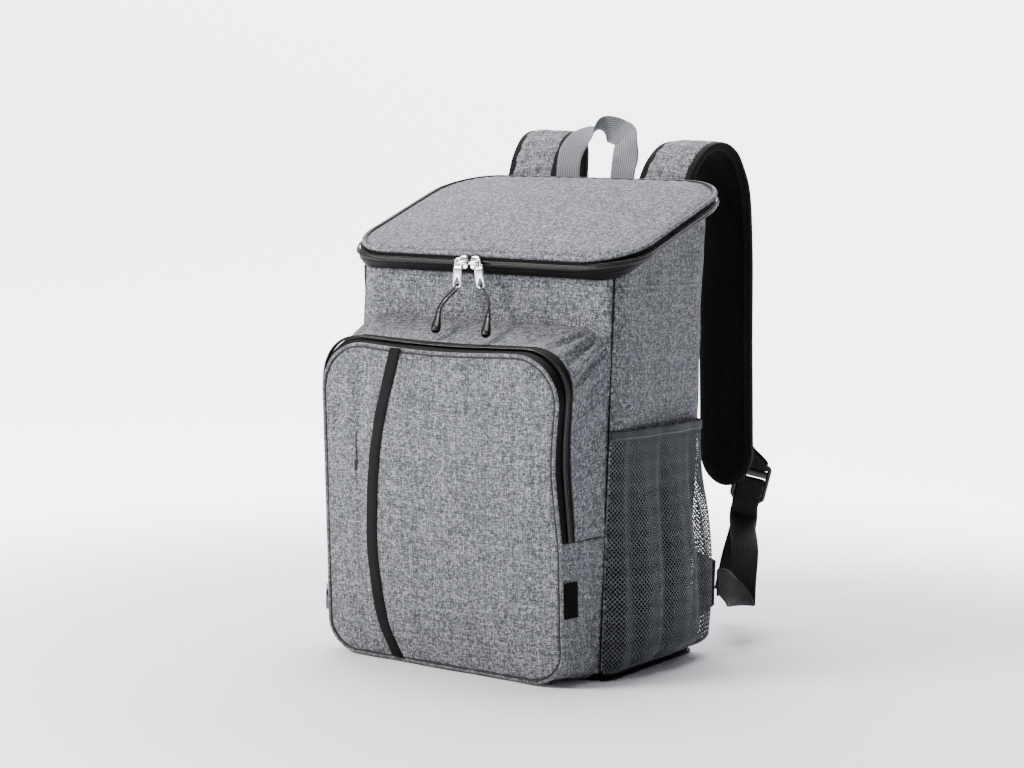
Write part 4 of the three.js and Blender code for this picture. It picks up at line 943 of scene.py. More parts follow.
# %% The pocket's outlines
POCKET_FRONT = {
    "half": 122.5, "shift": 1.8, "low": 2.3, "high": 284.0, "top_radius": 45.0, "low_radius": 30.0
}
POCKET_BACK = {
    "half": 129.3, "shift": 0.0, "low": 0.6, "high": 306.0, "top_radius": 26.0, "low_radius": 14.0
}
ZIP_RIGHT_END, ZIP_LEFT_END = 126.0, 46.0
PIPING_CLEAR, POCKET_TAPE, POCKET_PIPING = 2.3, 19.0, 2.0
BODY_FRONT = -BODY_SHAPE["half_depth"]
MIDDLE_Z = (POCKET_FRONT["high"] + POCKET_FRONT["low"]) / 2


def front_settled(spot):
    """The pocket's front edge as it hangs: its right side is drawn in half way up and its top sags."""
    x, z = spot[..., 0], spot[..., 1]
    aside = -6.8 * bell(z, 191, 50) * smooth(60, 118, x)
    down = -4.5 * bell(x, -5, 75) * smooth(230, 280, z)
    return spot + np.stack([aside, down], -1)


def edge_y(z):
    """How far forward the pocket's front edge is: 44.5 mm at the floor, 69.5 mm at the top."""
    return BODY_FRONT - (44.5 + 25.0 * z / POCKET_FRONT["high"])


def front_face_y(x):
    """The body's front face, with its rounded corners."""
    past = np.clip(np.abs(x) - (BODY_SHAPE["half_width"] - BODY_SHAPE["radius"]), 0, BODY_SHAPE["radius"])
    return BODY_FRONT + BODY_SHAPE["radius"] - np.sqrt(BODY_SHAPE["radius"] ** 2 - past**2)


def pocket_run(shape, over):
    """Points (x, z) and outward directions from one zip end to the other, over the top or underneath.

    Every stretch has the same number of points in both outlines, so that they pair up across the wall.
    """
    half, top, low = shape["half"], shape["high"], shape["low"]
    rt, rl = shape["top_radius"], shape["low_radius"]

    def stretch(x0, z0, x1, z1, radius, turn0, turn1, count):
        t = np.linspace(0, 1, count)
        angle = np.pi * (turn0 + (turn1 - turn0) * t)
        normal = np.stack([np.cos(angle), np.sin(angle)], -1)
        spot = np.stack([x0 + (x1 - x0) * t, z0 + (z1 - z0) * t], -1) + radius * normal
        return spot, normal

    if over:
        parts = [
            stretch(half, ZIP_RIGHT_END, half, top - rt, 0, 0, 0, 60),
            stretch(half - rt, top - rt, half - rt, top - rt, rt, 0, 0.5, 44),
            stretch(half - rt, top, rt - half, top, 0, 0.5, 0.5, 90),
            stretch(rt - half, top - rt, rt - half, top - rt, rt, 0.5, 1, 44),
            stretch(-half, top - rt, -half, ZIP_LEFT_END, 0, 1, 1, 90),
        ]
    else:
        parts = [
            stretch(-half, ZIP_LEFT_END, -half, low + rl, 0, 1, 1, 10),
            stretch(rl - half, low + rl, rl - half, low + rl, rl, 1, 1.5, 36),
            stretch(rl - half, low, half - rl, low, 0, 1.5, 1.5, 90),
            stretch(half - rl, low + rl, half - rl, low + rl, rl, 1.5, 2, 36),
            stretch(half, low + rl, half, ZIP_RIGHT_END, 0, 0, 0, 50),
        ]
    spot = np.concatenate([part[0][min(k, 1):] for k, part in enumerate(parts)])
    normal = np.concatenate([part[1][min(k, 1):] for k, part in enumerate(parts)])
    spot = spot + [shape["shift"], 0]
    return (front_settled(spot) if shape is POCKET_FRONT else spot), normal


def gusset_depth(over, out=0.0):
    """How deep the side wall is at each point of its outline."""
    (front, _), (back, back_normal) = pocket_run(POCKET_FRONT, over), pocket_run(POCKET_BACK, over)
    return front_face_y(back[:, 0] + out * back_normal[:, 0]) - 0.7 - edge_y(front[:, 1])


def gusset(over, behind, out):
    """Points of the side wall: behind (rows, n) mm behind the front edge, out (rows, n) off the wall."""
    (front, front_normal), (back, back_normal) = pocket_run(POCKET_FRONT, over), pocket_run(
        POCKET_BACK, over
    )
    share = behind / gusset_depth(over)
    share, out = share[..., None], np.asarray(out)[..., None]
    flat = front * (1 - share) + back * share + out * (front_normal * (1 - share) + back_normal * share)
    return np.stack([flat[..., 0], edge_y(front[:, 1]) + behind, flat[..., 1]], -1)


# run along the front edge in mm, depth, half width, slant: the wall's folds, deepest half way back
GUSSET_FOLDS = [
    (118, -3.4, 5.5, 0.25), (131, 2.2, 5.0, 0.2), (143, -3.6, 5.0, 0.1), (156, 2.0, 5.0, 0.0), (
        168, -3.2, 5.0, -0.1
    ),
    (181, 1.4, 6.0, -0.2), (196, -1.8, 7.0, -0.3), (92, -1.8, 9.0, 0.4), (60, -1.2, 14.0, 0.2), (
        300, -1.2, 16.0, 0.2
    ),
    (352, -2.4, 6.0, 0.2), (372, 1.4, 7.0, 0.1), (392, -2.6, 7.0, 0.0), (470, -1.2, 16.0, 0.2), (
        240, 1.2, 22.0, 0.0
    ),
]


def gusset_wall(name, over, start, folds, node, thick=2.0, rows=46):
    """The cloth side wall, from start to the body's seam, with folds and stitch puckers at its edges."""
    (front, _), depth = pocket_run(POCKET_FRONT, over), gusset_depth(over)
    share = np.linspace(0, 1, rows)[:, None]
    behind = start + share * (depth - start)
    run = lengths(front)[None]
    soft = 0.5 * waves(run, behind, 60, 81) + 0.2 * waves(run, behind, 24, 82)
    for at, height, wide, slant in folds:
        soft = soft + height * bell(run - at - slant * (behind - start), 0, wide)
    near = np.exp(-share * 9) + 0.7 * np.exp(-(1 - share) * 9)
    soft = soft * np.sin(np.pi * share) ** 0.8 + 0.3 * near * np.sin(
        2 * np.pi * run / 9 + 2 * waves(run, run * 0, 50, 83)
    )
    outer, inner = gusset(over, behind, soft), gusset(over, behind, soft - thick)
    flat = np.stack([behind + 0 * run, run + 0 * behind], -1) + (900 if over else 1400)
    return finish_piece(
        slab(name, outer.transpose(1, 0, 2), inner.transpose(1, 0, 2), cloth_body, flat.transpose(1, 0, 2)),
        "melange_cloth", node
    )


TAPE_END = PIPING_CLEAR + POCKET_TAPE
gusset_wall("pocket_wall_over", True, TAPE_END + SEAM, GUSSET_FOLDS, "pocket_gusset_upper")
gusset_wall(
    "pocket_wall_under", False, PIPING_CLEAR,
    [(318, -1.4, 9, 0.1), (338, 1.2, 8, 0.0), (250, -1.6, 14, 0.0), (60, -1.6, 14, 0.2)],
    "pocket_gusset_lower"
)

for end, at in (("right", 0), ("left", -1)):
    row = np.linspace(PIPING_CLEAR + 1, gusset_depth(True)[at] - 1, 40)[:, None]
    seam = gusset(True, row + np.zeros(len(gusset_depth(True))), 0.25 + 0 * row)[:, at]
    piping(
        "pocket_wall_seam_" + end, seam, SEAM_THREAD, [0.0, 0.0, 1.0], black_thread_and_painted_shade, "melange_cloth",
        ["pocket_gusset_lower"], sides=8
    )

# %% The pocket's zip
(front, front_normal) = pocket_run(POCKET_FRONT, True)
run = lengths(front)[None]
share = np.linspace(0, 1, 40)[:, None]
behind = PIPING_CLEAR + share * POCKET_TAPE + 0 * run
# on the left the tape is pushed out past the panel's edge, so that it shows as a black line
pushed = 5.5 * (front_normal[:, 0] < 0) * smooth(60, 110, front[:, 1]) * smooth(
    0.0, -1.0, front_normal[:, 0]
)
folds = ridges(share, [(0.1, 0.7, 0.06), (0.3, 0.5, 0.04), (0.72, 0.6, 0.04), (0.9, 0.8, 0.06)])
drape = (0.25 * waves(run, run * 0, 55, 91) + pushed) * np.sin(np.pi * share)
tape = [gusset(True, behind, out + 0 * behind).transpose(1, 0, 2) for out in (folds + drape, drape - TAPE)]
finish_piece(slab("pocket_zip_cloth", *tape, tape_black), "black_cloth", "pocket_zip_tape")
middle = behind[:1] * 0 + PIPING_CLEAR + POCKET_TAPE / 2
path = gusset(True, middle, 1.6 + pushed[None])[0]
outwards = np.stack([front_normal[:, 0], 0 * front_normal[:, 0], front_normal[:, 1]], -1)
coil("pocket_coil", path, facing_out(path, np.array([[0.0, 1.0, 0.0]]), outwards), "pocket_zip_teeth")

# %% [markdown]
# ## The pocket's front panel
#
# The panel hangs in its piping like a soft cushion: it swells 5 mm forwards and turns in at the seam. Its
# left part, past the black strip, has upright creases, and the lower edge sags between the stitches.

# %% Front panel, piping, strip and label
def pocket_quarter(side, run):
    """A quarter of the panel's outline, from the middle of one corner to the next: 0 is the bottom, then
    right, top and left. The straight part joins two arcs that may differ in radius."""
    shape = POCKET_FRONT
    corners = []
    for sign_x, sign_z in ((-1, -1), (1, -1), (1, 1), (-1, 1)):
        radius = shape["low_radius"] if sign_z < 0 else shape["top_radius"]
        z = shape["low"] + radius if sign_z < 0 else shape["high"] - radius
        corners.append((np.array([shape["shift"] + sign_x * (shape["half"] - radius), z]), radius))
    (c0, r0), (c1, r1) = corners[side], corners[(side + 1) % 4]
    base = np.pi * (1.5 + 0.5 * side)
    facing = np.array([math.cos(base), math.sin(base)])
    p0, p1 = c0 + r0 * facing, c1 + r1 * facing
    first, straight, last = r0 * np.pi / 4, np.linalg.norm(p1 - p0), r1 * np.pi / 4
    s = np.asarray(run) * (first + straight + last)
    before, after = np.clip(first - s, 0, None), np.clip(s - first - straight, 0, None)
    angle = base - before / r0 + after / r1
    normal = np.stack([np.cos(angle), np.sin(angle)], -1)
    t = np.clip((s - first) / straight, 0, 1)[..., None]
    on_arc0, on_arc1 = (before > 0)[..., None], (after > 0)[..., None]
    spot = np.where(on_arc0, c0 + r0 * normal, np.where(on_arc1, c1 + r1 * normal, p0 * (1 - t) + p1 * t))
    return front_settled(spot), normal


def pocket_outline(turn):
    """The closed outline of the front panel as a function of turn from 0 to 4."""
    side = np.minimum(turn.astype(int), 3)
    found = [pocket_quarter(k, turn - side) for k in range(4)]
    spot = sum(np.where((side == k)[..., None], found[k][0], 0) for k in range(4))
    normal = sum(np.where((side == k)[..., None], found[k][1], 0) for k in range(4))
    return spot, normal


# x, z, depth forwards, half width, half height, lean: the panel's creases in mm
PANEL_DENTS = [
    (-86, 208, -2.6, 20, 20, 0.0), (-33, 248, 1.6, 25, 22, 0.0), (70, 28, -2.2, 25, 20, 0.0), (
        -4, 18, -1.6, 17, 17, 0.0
    ),
    (-104, 214, -2.4, 5, 46, 0.10), (-92, 236, 1.8, 7, 34, 0.06), (-82, 172, -1.6, 6, 60, 0.02), (
        -110, 150, 1.3, 8, 46, 0.0
    ),
    (-97, 110, -1.5, 8, 46, 0.05), (-86, 60, -1.5, 12, 30, 0.15), (-72, 252, -2.0, 7, 24, 0.12), (
        26, 256, -1.4, 40, 10, 0.5
    ),
    (92, 240, -1.5, 12, 26, -0.3), (104, 120, -1.0, 9, 60, 0.0), (-20, 120, 0.9, 44, 60, 0.1), (
        48, 70, 0.8, 34, 34, 0.2
    ),
    (-40, 30, 1.4, 22, 12, 0.4), (20, 24, -1.6, 16, 14, -0.5),
]


def panel_y(x, z, share):
    """The panel's middle surface: its sloping plane, the swell forwards and the creases."""
    soft = 0.4 * waves(x, z, 75, 101) + 0.18 * waves(x, z, 30, 102)
    for at, up, depth, wide, tall, lean in PANEL_DENTS:
        soft = soft + depth * bell(x - at - lean * (z - up), 0, wide) * bell(z, up, tall)
    return edge_y(z) - 5.0 * (1 - share**4) - soft * (1 - share**8)


share, spot, normal = square_to_outline(pocket_outline, 220)
inner_edge = spot - normal * (PIPING_CLEAR - 0.8)
x = POCKET_FRONT["shift"] * (1 - share) + inner_edge[..., 0] * share
z = MIDDLE_Z * (1 - share) + inner_edge[..., 1] * share
reach = (1 - share) * POCKET_FRONT["half"]
stitch_dip = 0.5 * bell(reach, 5.5, 1.1)
turned = np.arctan2(z - MIDDLE_Z, x)
pucker = 0.35 * np.exp(-reach / 9) * np.sin(turned * 96 + 2.0 * waves(x, z, 60, 103)) * (
    1 - np.exp(-reach / 1.5)
)
face = panel_y(x, z, share) + stitch_dip - pucker
roll = 2.2 * np.exp(-reach / 1.3)
outer = np.stack([x, face - 1.5 + roll, z], -1)
inner = np.stack([x, face + 1.5, z], -1)
panel = slab("pocket_front_cushion", outer, inner, cloth_body, np.stack([x + 2000, z], -1))
finish_piece(panel, "melange_cloth", "pocket_front_panel")

turn = np.linspace(0, 4, 900, endpoint=False)
spot, normal = pocket_outline(turn)
sag = 0.9 * waves(spot[:, 0], spot[:, 1], 70, 105) * smooth(70, 10, spot[:, 1]) + 0.35 * waves(
    spot[:, 0], spot[:, 1], 55, 106
)
path = np.stack([spot[:, 0], edge_y(spot[:, 1]) + sag, spot[:, 1]], -1)
piping(
    "pocket_edge_piping", path, POCKET_PIPING - 0.3, [0.0, 1.0, 0.0], cloth_lid, "melange_cloth",
    ["pocket_piping"], loop=True
)
# Painted shade: a continuous black tube just inside the pocket's piping stands for the shaded groove there, over
# the real seam.
inset = path - np.stack([normal[:, 0] * SEAM_SHADE_INSET, 0 * sag + 0.9, normal[:, 1] * SEAM_SHADE_INSET], -1)
piping(
    "pocket_seam_and_painted_shade", inset, POCKET_SEAM_SHADE, [0.0, 1.0, 0.0], black_thread_and_painted_shade, "melange_cloth", [
        "pocket_piping"
    ],
    loop=True, sides=8
)


def on_panel(x, z, off):
    """Points a distance in front of the panel's face."""
    reach = np.maximum(
        np.abs(x - POCKET_FRONT["shift"]) / (POCKET_FRONT["half"] - PIPING_CLEAR),
        np.abs(z - MIDDLE_Z) / ((POCKET_FRONT["high"] - POCKET_FRONT["low"]) / 2 - PIPING_CLEAR),
    )
    return np.stack([x, panel_y(x, z, np.minimum(1, reach)) - 1.5 - off, z], -1)


STRIP_UP = [1.0, 0.88, 0.72, 0.55, 0.38, 0.24, 0.12, 0.0]
STRIP_ACROSS = [-0.345, -0.405, -0.50, -0.548, -0.562, -0.54, -0.495, -0.385]
STRIP_WIDTH = 11.5
middle = spline(np.stack([STRIP_UP, STRIP_ACROSS, np.zeros(len(STRIP_UP))], -1), 200)
strip_x = middle[:, 1] * POCKET_FRONT["half"] + POCKET_FRONT["shift"]
strip_z = POCKET_FRONT["low"] + PIPING_CLEAR + middle[:, 0] * (
    POCKET_FRONT["high"] - POCKET_FRONT["low"] - 2 * PIPING_CLEAR
)
width = np.linspace(-0.5, 0.5, 16)[None]
x, z = strip_x[:, None] + width * STRIP_WIDTH, strip_z[:, None] + 0 * width
puff = 0.75 + 1.0 * np.sqrt(np.clip(1 - (2 * np.abs(width)) ** 6, 0, 1)) - 0.45 * bell(
    np.abs(width), 0.36, 0.05
)
finish_piece(
    slab("pocket_strip", on_panel(x, z, puff), on_panel(x, z, 0.4 + 0 * x), tape_black), "black_cloth",
    "front_strip"
)


def label_rows(out, count):
    """The side label: a small bare tab between the piping and the plain wall."""
    z = np.linspace(61.0, 92.0, count)[:, None]
    behind = PIPING_CLEAR + np.linspace(0, 18.0, count)[None] + 0 * z
    share = behind / (BODY_FRONT - 0.7 - edge_y(z))
    x = POCKET_FRONT["shift"] + POCKET_FRONT["half"] + (
        POCKET_BACK["half"] - POCKET_FRONT["half"] - POCKET_FRONT["shift"]
    ) * share
    curl = 0.5 * ((behind - PIPING_CLEAR) / 18) ** 2
    return np.stack([x + out + curl, edge_y(z) + behind, z + 0 * behind], -1)


finish_piece(
    slab("pocket_side_label", label_rows(1.5, 24), label_rows(0.6, 24), label_satin), "black_cloth",
    "side_label"
)

# %% The small slit on the panel's left part
z = np.linspace(202, 177, 16)
centres = on_panel(np.full_like(z, -85.0) + 1.0 * waves(z, z * 0, 30, 107), z, 0.35)
slit = capsules(
    "pocket_slit", centres, np.tile([[0.06, 0.0, -1.0]], (len(z), 1)),
    np.tile([[1.0, 0.0, 0.0]], (len(z), 1)), 1.15, 0.55, black_thread_and_painted_shade, 0.6
)
finish_piece(slit, "black_cloth")
# Painted shadow: wider black capsules at the slit's lower end stand for the shadow there.
slit_shadow_z = np.array([176.0, 173.6, 171.6])
slit_end_shadow = capsules(
    "pocket_slit_painted_shadow", on_panel(np.full(3, -85.2), slit_shadow_z, 0.6), np.tile([[0.1, 0.0, -1.0]], (3, 1)),
    np.tile([[1.0, 0.0, 0.0]], (3, 1)), 2.2, 1.1, black_thread_and_painted_shade, 0.6
)
finish_piece(slit_end_shadow, "black_cloth")

# %% [markdown]
# ## The net side pockets
#
# Each is a knitted net that bags out below a bound elastic edge. The net is modelled thread by thread: two
# families of flattened yarns that cross on the slanted surface, and where they cross they are knitted
# together, so the yarns swell there. The wall bags out most low down and falls into upright folds. A
# second, darker layer just behind it stands in for the deep shade that the photograph shows through the
# gaps. The real net may have one layer only.

# %% Net and elastic edge
NET_LOW, NET_HIGH, NET_BULGE = 5.0, 209.0, 24.0
NET_TRIM = SEAM_PIPING + SEAM
PROFILE_UP = np.array([0, 0.03, 0.08, 0.2, 0.4, 0.6, 0.8, 1.0])
PROFILE_OUT = np.array([0, 0.55, 0.92, 1.0, 0.92, 0.66, 0.42, 0.32])
CELL_ACROSS, CELL_UP = 3.2, 4.3


def follow(keys, values, at):
    """A value that runs smoothly through a table, half linear and half with soft starts and ends."""
    high = np.clip(np.searchsorted(keys, at), 1, len(keys) - 1)
    t = np.clip((at - keys[high - 1]) / (keys[high] - keys[high - 1]), 0, 1)
    t = 0.5 * t * t * (3 - 2 * t) + 0.5 * t
    return values[high - 1] * (1 - t) + values[high] * t


NET_ARC = BODY_SHAPE["radius"] * math.pi / 4 - NET_TRIM
NET_WIDTH = 2 * (NET_ARC + BODY_SHAPE["half_depth"] - BODY_SHAPE["radius"])
# along, depth, half width, lean of the net's folds: shares of its width
NET_FOLDS = [
    (0.2, -3.4, 0.035, 0.05), (0.30, 2.4, 0.04, 0.02), (0.45, -4.2, 0.035, -0.03), (0.56, 2.0, 0.045, 0.0),
    (0.72, -3.4, 0.04, 0.04), (0.84, 1.6, 0.04, 0.02)
]


def net_point(s, z, out):
    """Points on the net: s mm along the side from the front seam, z up, out mm off the net's inner face."""
    run = s / NET_WIDTH
    spot, normal, _ = quarter(BODY_SHAPE, 1, run, NET_TRIM)
    arc = NET_ARC / NET_WIDTH
    along = np.interp(run, [0, arc, 1 - arc, 1], [0, 2 / 11, 9 / 11, 1])
    up = np.clip((z - NET_LOW) / (NET_HIGH - NET_LOW), 0, 1)
    folds = 0
    for at, depth, wide, lean in NET_FOLDS:
        folds = folds + depth * bell(along - at - lean * (1 - up) ** 2, 0, wide)
    pinned = smooth(0, 0.04, up)
    swell = follow(PROFILE_UP, PROFILE_OUT, up) * np.sin(np.pi * along**1.25) * NET_BULGE
    # low down the net hangs out further towards the back
    swell = swell + 8.5 * smooth(0, 0.06, up) * smooth(0.95, 0.5, up) * bell(along, 0.86, 0.13) * smooth(
        1.0, 0.97, along
    )
    gather = folds * pinned * (
        0.35 + 0.65 * np.sin(np.pi * np.clip(up, 0, 1)) ** 0.7
    ) * np.clip(4 * along, 0, 1) * np.clip(4 * (1 - along), 0, 1)
    return raised(spot + normal * (SEAM + swell + gather + out)[..., None], z)


def net_family(sign, low, high, step=1.9, shift=0.0, out=0.55, wide=0.25):
    """One family of parallel slanting yarns as swept tubes: their points and faces as whole arrays."""
    slope = CELL_UP / CELL_ACROSS
    starts = np.arange(-(high - low) / slope, NET_WIDTH, CELL_ACROSS) + shift * CELL_ACROSS
    dz = np.arange(0, high - low + step * 0.5, step)
    dz[-1] = high - low
    z = np.broadcast_to(low + dz, (len(starts), len(dz)))
    s = starts[:, None] + dz[None] / slope
    s = s if sign > 0 else NET_WIDTH - s
    inside = (s > 0) & (s < NET_WIDTH)
    s = np.clip(s, 0, NET_WIDTH)
    knit = 0.5 + 0.5 * np.cos(2 * np.pi * (dz / (CELL_UP / 2)))[None] + 0 * s
    path = net_point(s, z, out + 0.12 * sign + 0 * s)
    ahead = unit(np.gradient(path, axis=1))
    off = unit(net_point(s, z, out + 1.0 + 0 * s) - path)
    aside = unit(np.cross(ahead, off))
    angles = np.linspace(0, 2 * np.pi, 5, endpoint=False)
    wide = (wide + 0.14 * knit)[..., None, None]
    ring = (
        path[:, :, None]
        + aside[:, :, None] * wide * np.cos(angles)[:, None]
        + off[:, :, None] * 0.28 * np.sin(angles)[:, None]
    )
    count = ring.shape[1]
    i, k, j = np.meshgrid(np.arange(len(starts)), np.arange(count - 1), np.arange(5), indexing="ij")
    use = inside[:, :-1, None] & inside[:, 1:, None] & np.ones(5, bool)
    here, there = (i * count + k) * 5, (i * count + k + 1) * 5
    quads = np.stack([here + j, here + (j + 1) % 5, there + (j + 1) % 5, there + j], -1)[use]
    return ring.reshape(-1, 3), quads


def join(parts):
    """Several point and face arrays as one, without the points that no face uses."""
    points = np.concatenate([part[0] for part in parts])
    starts = np.cumsum([0] + [len(part[0]) for part in parts[:-1]])
    faces = np.concatenate([part[1] + start for part, start in zip(parts, starts)])
    used = np.unique(faces)
    slot = np.zeros(len(points), int)
    slot[used] = np.arange(len(used))
    return points[used], slot[faces]


def mirror(points, faces):
    """The same on the bag's other side, with its faces turned to keep pointing outwards."""
    return points * [-1, 1, 1], faces[:, ::-1]


net = join([net_family(1, NET_LOW + 0.5, NET_HIGH + 1.5), net_family(-1, NET_LOW + 0.5, NET_HIGH + 1.5)])
# The second, near-black net is painted shade for the shade seen through the gaps.
behind = join([net_family(sign, NET_LOW + 0.5, NET_HIGH + 1.5, 2.8, 0.5, -0.3, 0.8) for sign in (1, -1)])
for side in ("right", "left"):
    for name, yarns, material in (("net_", net, net_yarn), ("net_painted_shade_", behind, net_shade)):
        points, faces = yarns if side == "right" else mirror(*yarns)
        finish_piece(
            mesh_from(name + side, points, faces, None, material), "mesh_net", "mesh_pocket_" + side
        )
        print(name + side, "faces:", len(faces))


def other_side(piece, name):
    """A mirrored copy of a piece for the bag's left side."""
    mesh = piece.data.copy()
    points = np.zeros(len(mesh.vertices) * 3, np.float32)
    mesh.vertices.foreach_get("co", points)
    mesh.vertices.foreach_set("co", (points.reshape(-1, 3) * [-1, 1, 1]).astype(np.float32).ravel())
    mesh.flip_normals()
    mesh.update()
    copy = bpy.data.objects.new(name, mesh)
    bpy.context.scene.collection.objects.link(copy)
    return copy


s, up = np.meshgrid(np.linspace(0, NET_WIDTH, 180), np.linspace(0, 1, 16))
height = NET_HIGH + 0.2 + up * 8.8
roll = np.sqrt(np.clip(1 - (2 * up - 1) ** 6, 0, 1))
groove = 0.35 * bell(up, 0.24, 0.06)
outer = net_point(s, height, 1.0 + 1.3 * roll - groove)
inner = net_point(s, height, 0.9 - 0.9 * roll)
edge = slab("elastic_edge_right", outer.transpose(1, 0, 2), inner.transpose(1, 0, 2), elastic_grey)
finish_piece(edge, "elastic", "mesh_band_right")
finish_piece(other_side(edge, "elastic_edge_left"), "elastic", "mesh_band_left")


def stitches(name, path, facing, slot, nodes, pitch=2.6, thread=None):
    """A row of stitches: each is a short capsule two thirds of the pitch long, half sunk in the cloth."""
    at, more = resample(path, np.concatenate([unit(np.gradient(path, axis=0)), facing], 1), pitch)
    row = capsules(name, at, more[:, :3], more[:, 3:], pitch / 3, 0.32, thread or thread_grey)
    return finish_piece(row, slot, *nodes)


s = np.linspace(3, NET_WIDTH - 3, 200)
sewn = net_point(s, np.full_like(s, NET_HIGH + 0.2 + 0.24 * 8.8), 2.02)
lifted = net_point(s, np.full_like(s, NET_HIGH + 0.2 + 0.24 * 8.8), 3.02)
row = stitches("elastic_stitches_right", sewn, lifted - sewn, "elastic", ["mesh_band_right"])
finish_piece(other_side(row, "elastic_stitches_left"), "elastic", "mesh_band_left")

# %% [markdown]
# ## Webbing
#
# The carry handle is one length of 26 mm webbing, sewn flat to the back on both sides. It passes behind
# the lid. Its arch has a half twist on the left, and on the right it bends over along a slanting line.

# %% Carry handle
BACK_FACE = BODY_SHAPE["half_depth"]
LID_BACK_Y = LID_SHAPE["centre_y"] + LID_SHAPE["half_depth"]
LID_BACK_Z = lid_plane(LID_BACK_Y)
WEBBING_HALF, WEBBING_THICK = 13.0, 1.6
at_back = BACK_FACE + SEAM + WEBBING_THICK / 2
past_lid = LID_BACK_Y + PIPING + SEAM + 1 + WEBBING_THICK / 2
# across, behind, height above the lid's back edge, and the direction of the webbing's width
HANDLE_FOOT = [
    (-30, at_back, -55, -1, 0, 0), (-30, at_back + 1.5, -31, -1, 0, 0), (-30, 103, -15, -1, 0, 0), (
        -30, past_lid, 1, -1, 0, 0
    ),
]
# the arch: to the right in the photograph, away from it, up, and the width's direction in the same three
HANDLE_ARCH = [
    (31.6, 107.5, 15, -0.85, 0.53, 0.0), (34.0, 109, 27, -0.82, 0.5, 0.2), (
        41.0, 109, 37.5, -0.62, 0.66, 0.4
    ),
    (51.0, 107, 45, -0.34, 0.88, 0.3), (60.0, 104, 49, -0.32, 0.9, -0.25), (
        68.5, 100, 49, -0.55, 0.4, -0.74
    ),
    (77.5, 97, 46.5, -0.57, 0.1, -0.8), (84.5, 91, 42.0, -0.55, 0.05, -0.8), (
        84.5, 84, 32, -0.82, 0.3, -0.45
    ),
    (84.5, 79, 21.5, -0.95, 0.3, -0.12), (82.8, 76, 11, -0.88, 0.48, 0.0),
]
c, d = math.cos(AZIMUTH), math.sin(AZIMUTH)
photo_turn = np.array(
    [
        [c, d, 0, 0, 0, 0], [-d, c, 0, 0, 0, 0], [0, 0, 1, 0, 0, 0], [0, 0, 0, c, d, 0],
        [0, 0, 0, -d, c, 0], [0, 0, 0, 0, 0, 1]
    ]
)
foot = np.array(HANDLE_FOOT)
handle_line = np.concatenate([foot, np.array(HANDLE_ARCH) @ photo_turn, (foot * [-1, 1, 1, 1, 1, 1])[::-1]])
handle_path = spline(handle_line + [0, 0, LID_BACK_Z, 0, 0, 0], 260)
handle_side = handle_path[:, 3:]
edge_wave = 1 + 0.006 * np.sin(np.arange(260) * 0.9)[:, None, None]
webbing_section = ribbon_section(WEBBING_HALF, WEBBING_THICK / 2, 22)
handle = skin(
    "handle_webbing", sweep(handle_path[:, :3], handle_side, webbing_section * edge_wave), webbing_grey
)
finish_piece(handle, "webbing", "carry_handle")

# %% [markdown]
# ## The padded shoulder straps
#
# Each strap is foam between the bag's cloth, on the outside, and black spacer mesh, on the side that lies
# against the back, with a black binding folded over its edge. It is sewn to the back panel, arches up and
# over and hangs down to a rounded tip. The pad is thick in its middle and pinched where it is bound.

# %% Strap pads and bindings
STRAP_LINE = np.array([
    (73, 5.6, -58, 0), (73, 6.0, -34, 0), (73, 13.5, -18, 0), (73, 24.5, -2, 0), (75, 36, 17, 0.3), (
        77, 53, 30.5, 0.8
    ),
    (79, 71, 35.5, 1), (81, 86, 34, 1), (84, 98.5, 26, 0.8), (87.5, 106, 12, 0.5), (91, 111.5, -6, 0.25),
    (95, 115, -60, 0), (99, 115.5, -150, 0), (103, 116, -230, 0), (106, 116.5, -290, 0),
])
STRAP_HALF, STRAP_THICK, TIP = 23.7, 10.0, 30.0
BOUND = 2.3


def strap_axes(rise, along, count=900):
    """The strap's middle line at distances along it, with its across and facing directions and length."""
    line = np.stack(
        [
            STRAP_LINE[:, 0], BACK_FACE + STRAP_LINE[:, 1],
            LID_BACK_Z + STRAP_LINE[:, 2] + STRAP_LINE[:, 3] * rise
        ],
        -1
    )
    path = spline(line, count)
    total = lengths(path)[-1]
    tangent = unit(np.gradient(path, axis=0))
    across = unit(np.array([1.0, 0, 0]) - tangent[:, :1] * tangent)
    facing = np.cross(across, tangent)
    both = np.concatenate([path, tangent, across, facing], 1)
    at = np.clip(along, 0, total) / total * (count - 1)
    found = np.stack([np.interp(at, np.arange(count), both[:, k]) for k in range(12)], -1)
    over = np.clip(np.asarray(along) - total, 0, None)[..., None]
    return found[..., :3] + over * found[..., 3:6], found[..., 6:9], found[..., 9:], total


def strap_half(along, total):
    """Half the pad's width: full, then a half ellipse at the tip."""
    past = np.clip(along - (total - TIP), 0, TIP) / TIP
    return STRAP_HALF * np.sqrt(1 - past**2)


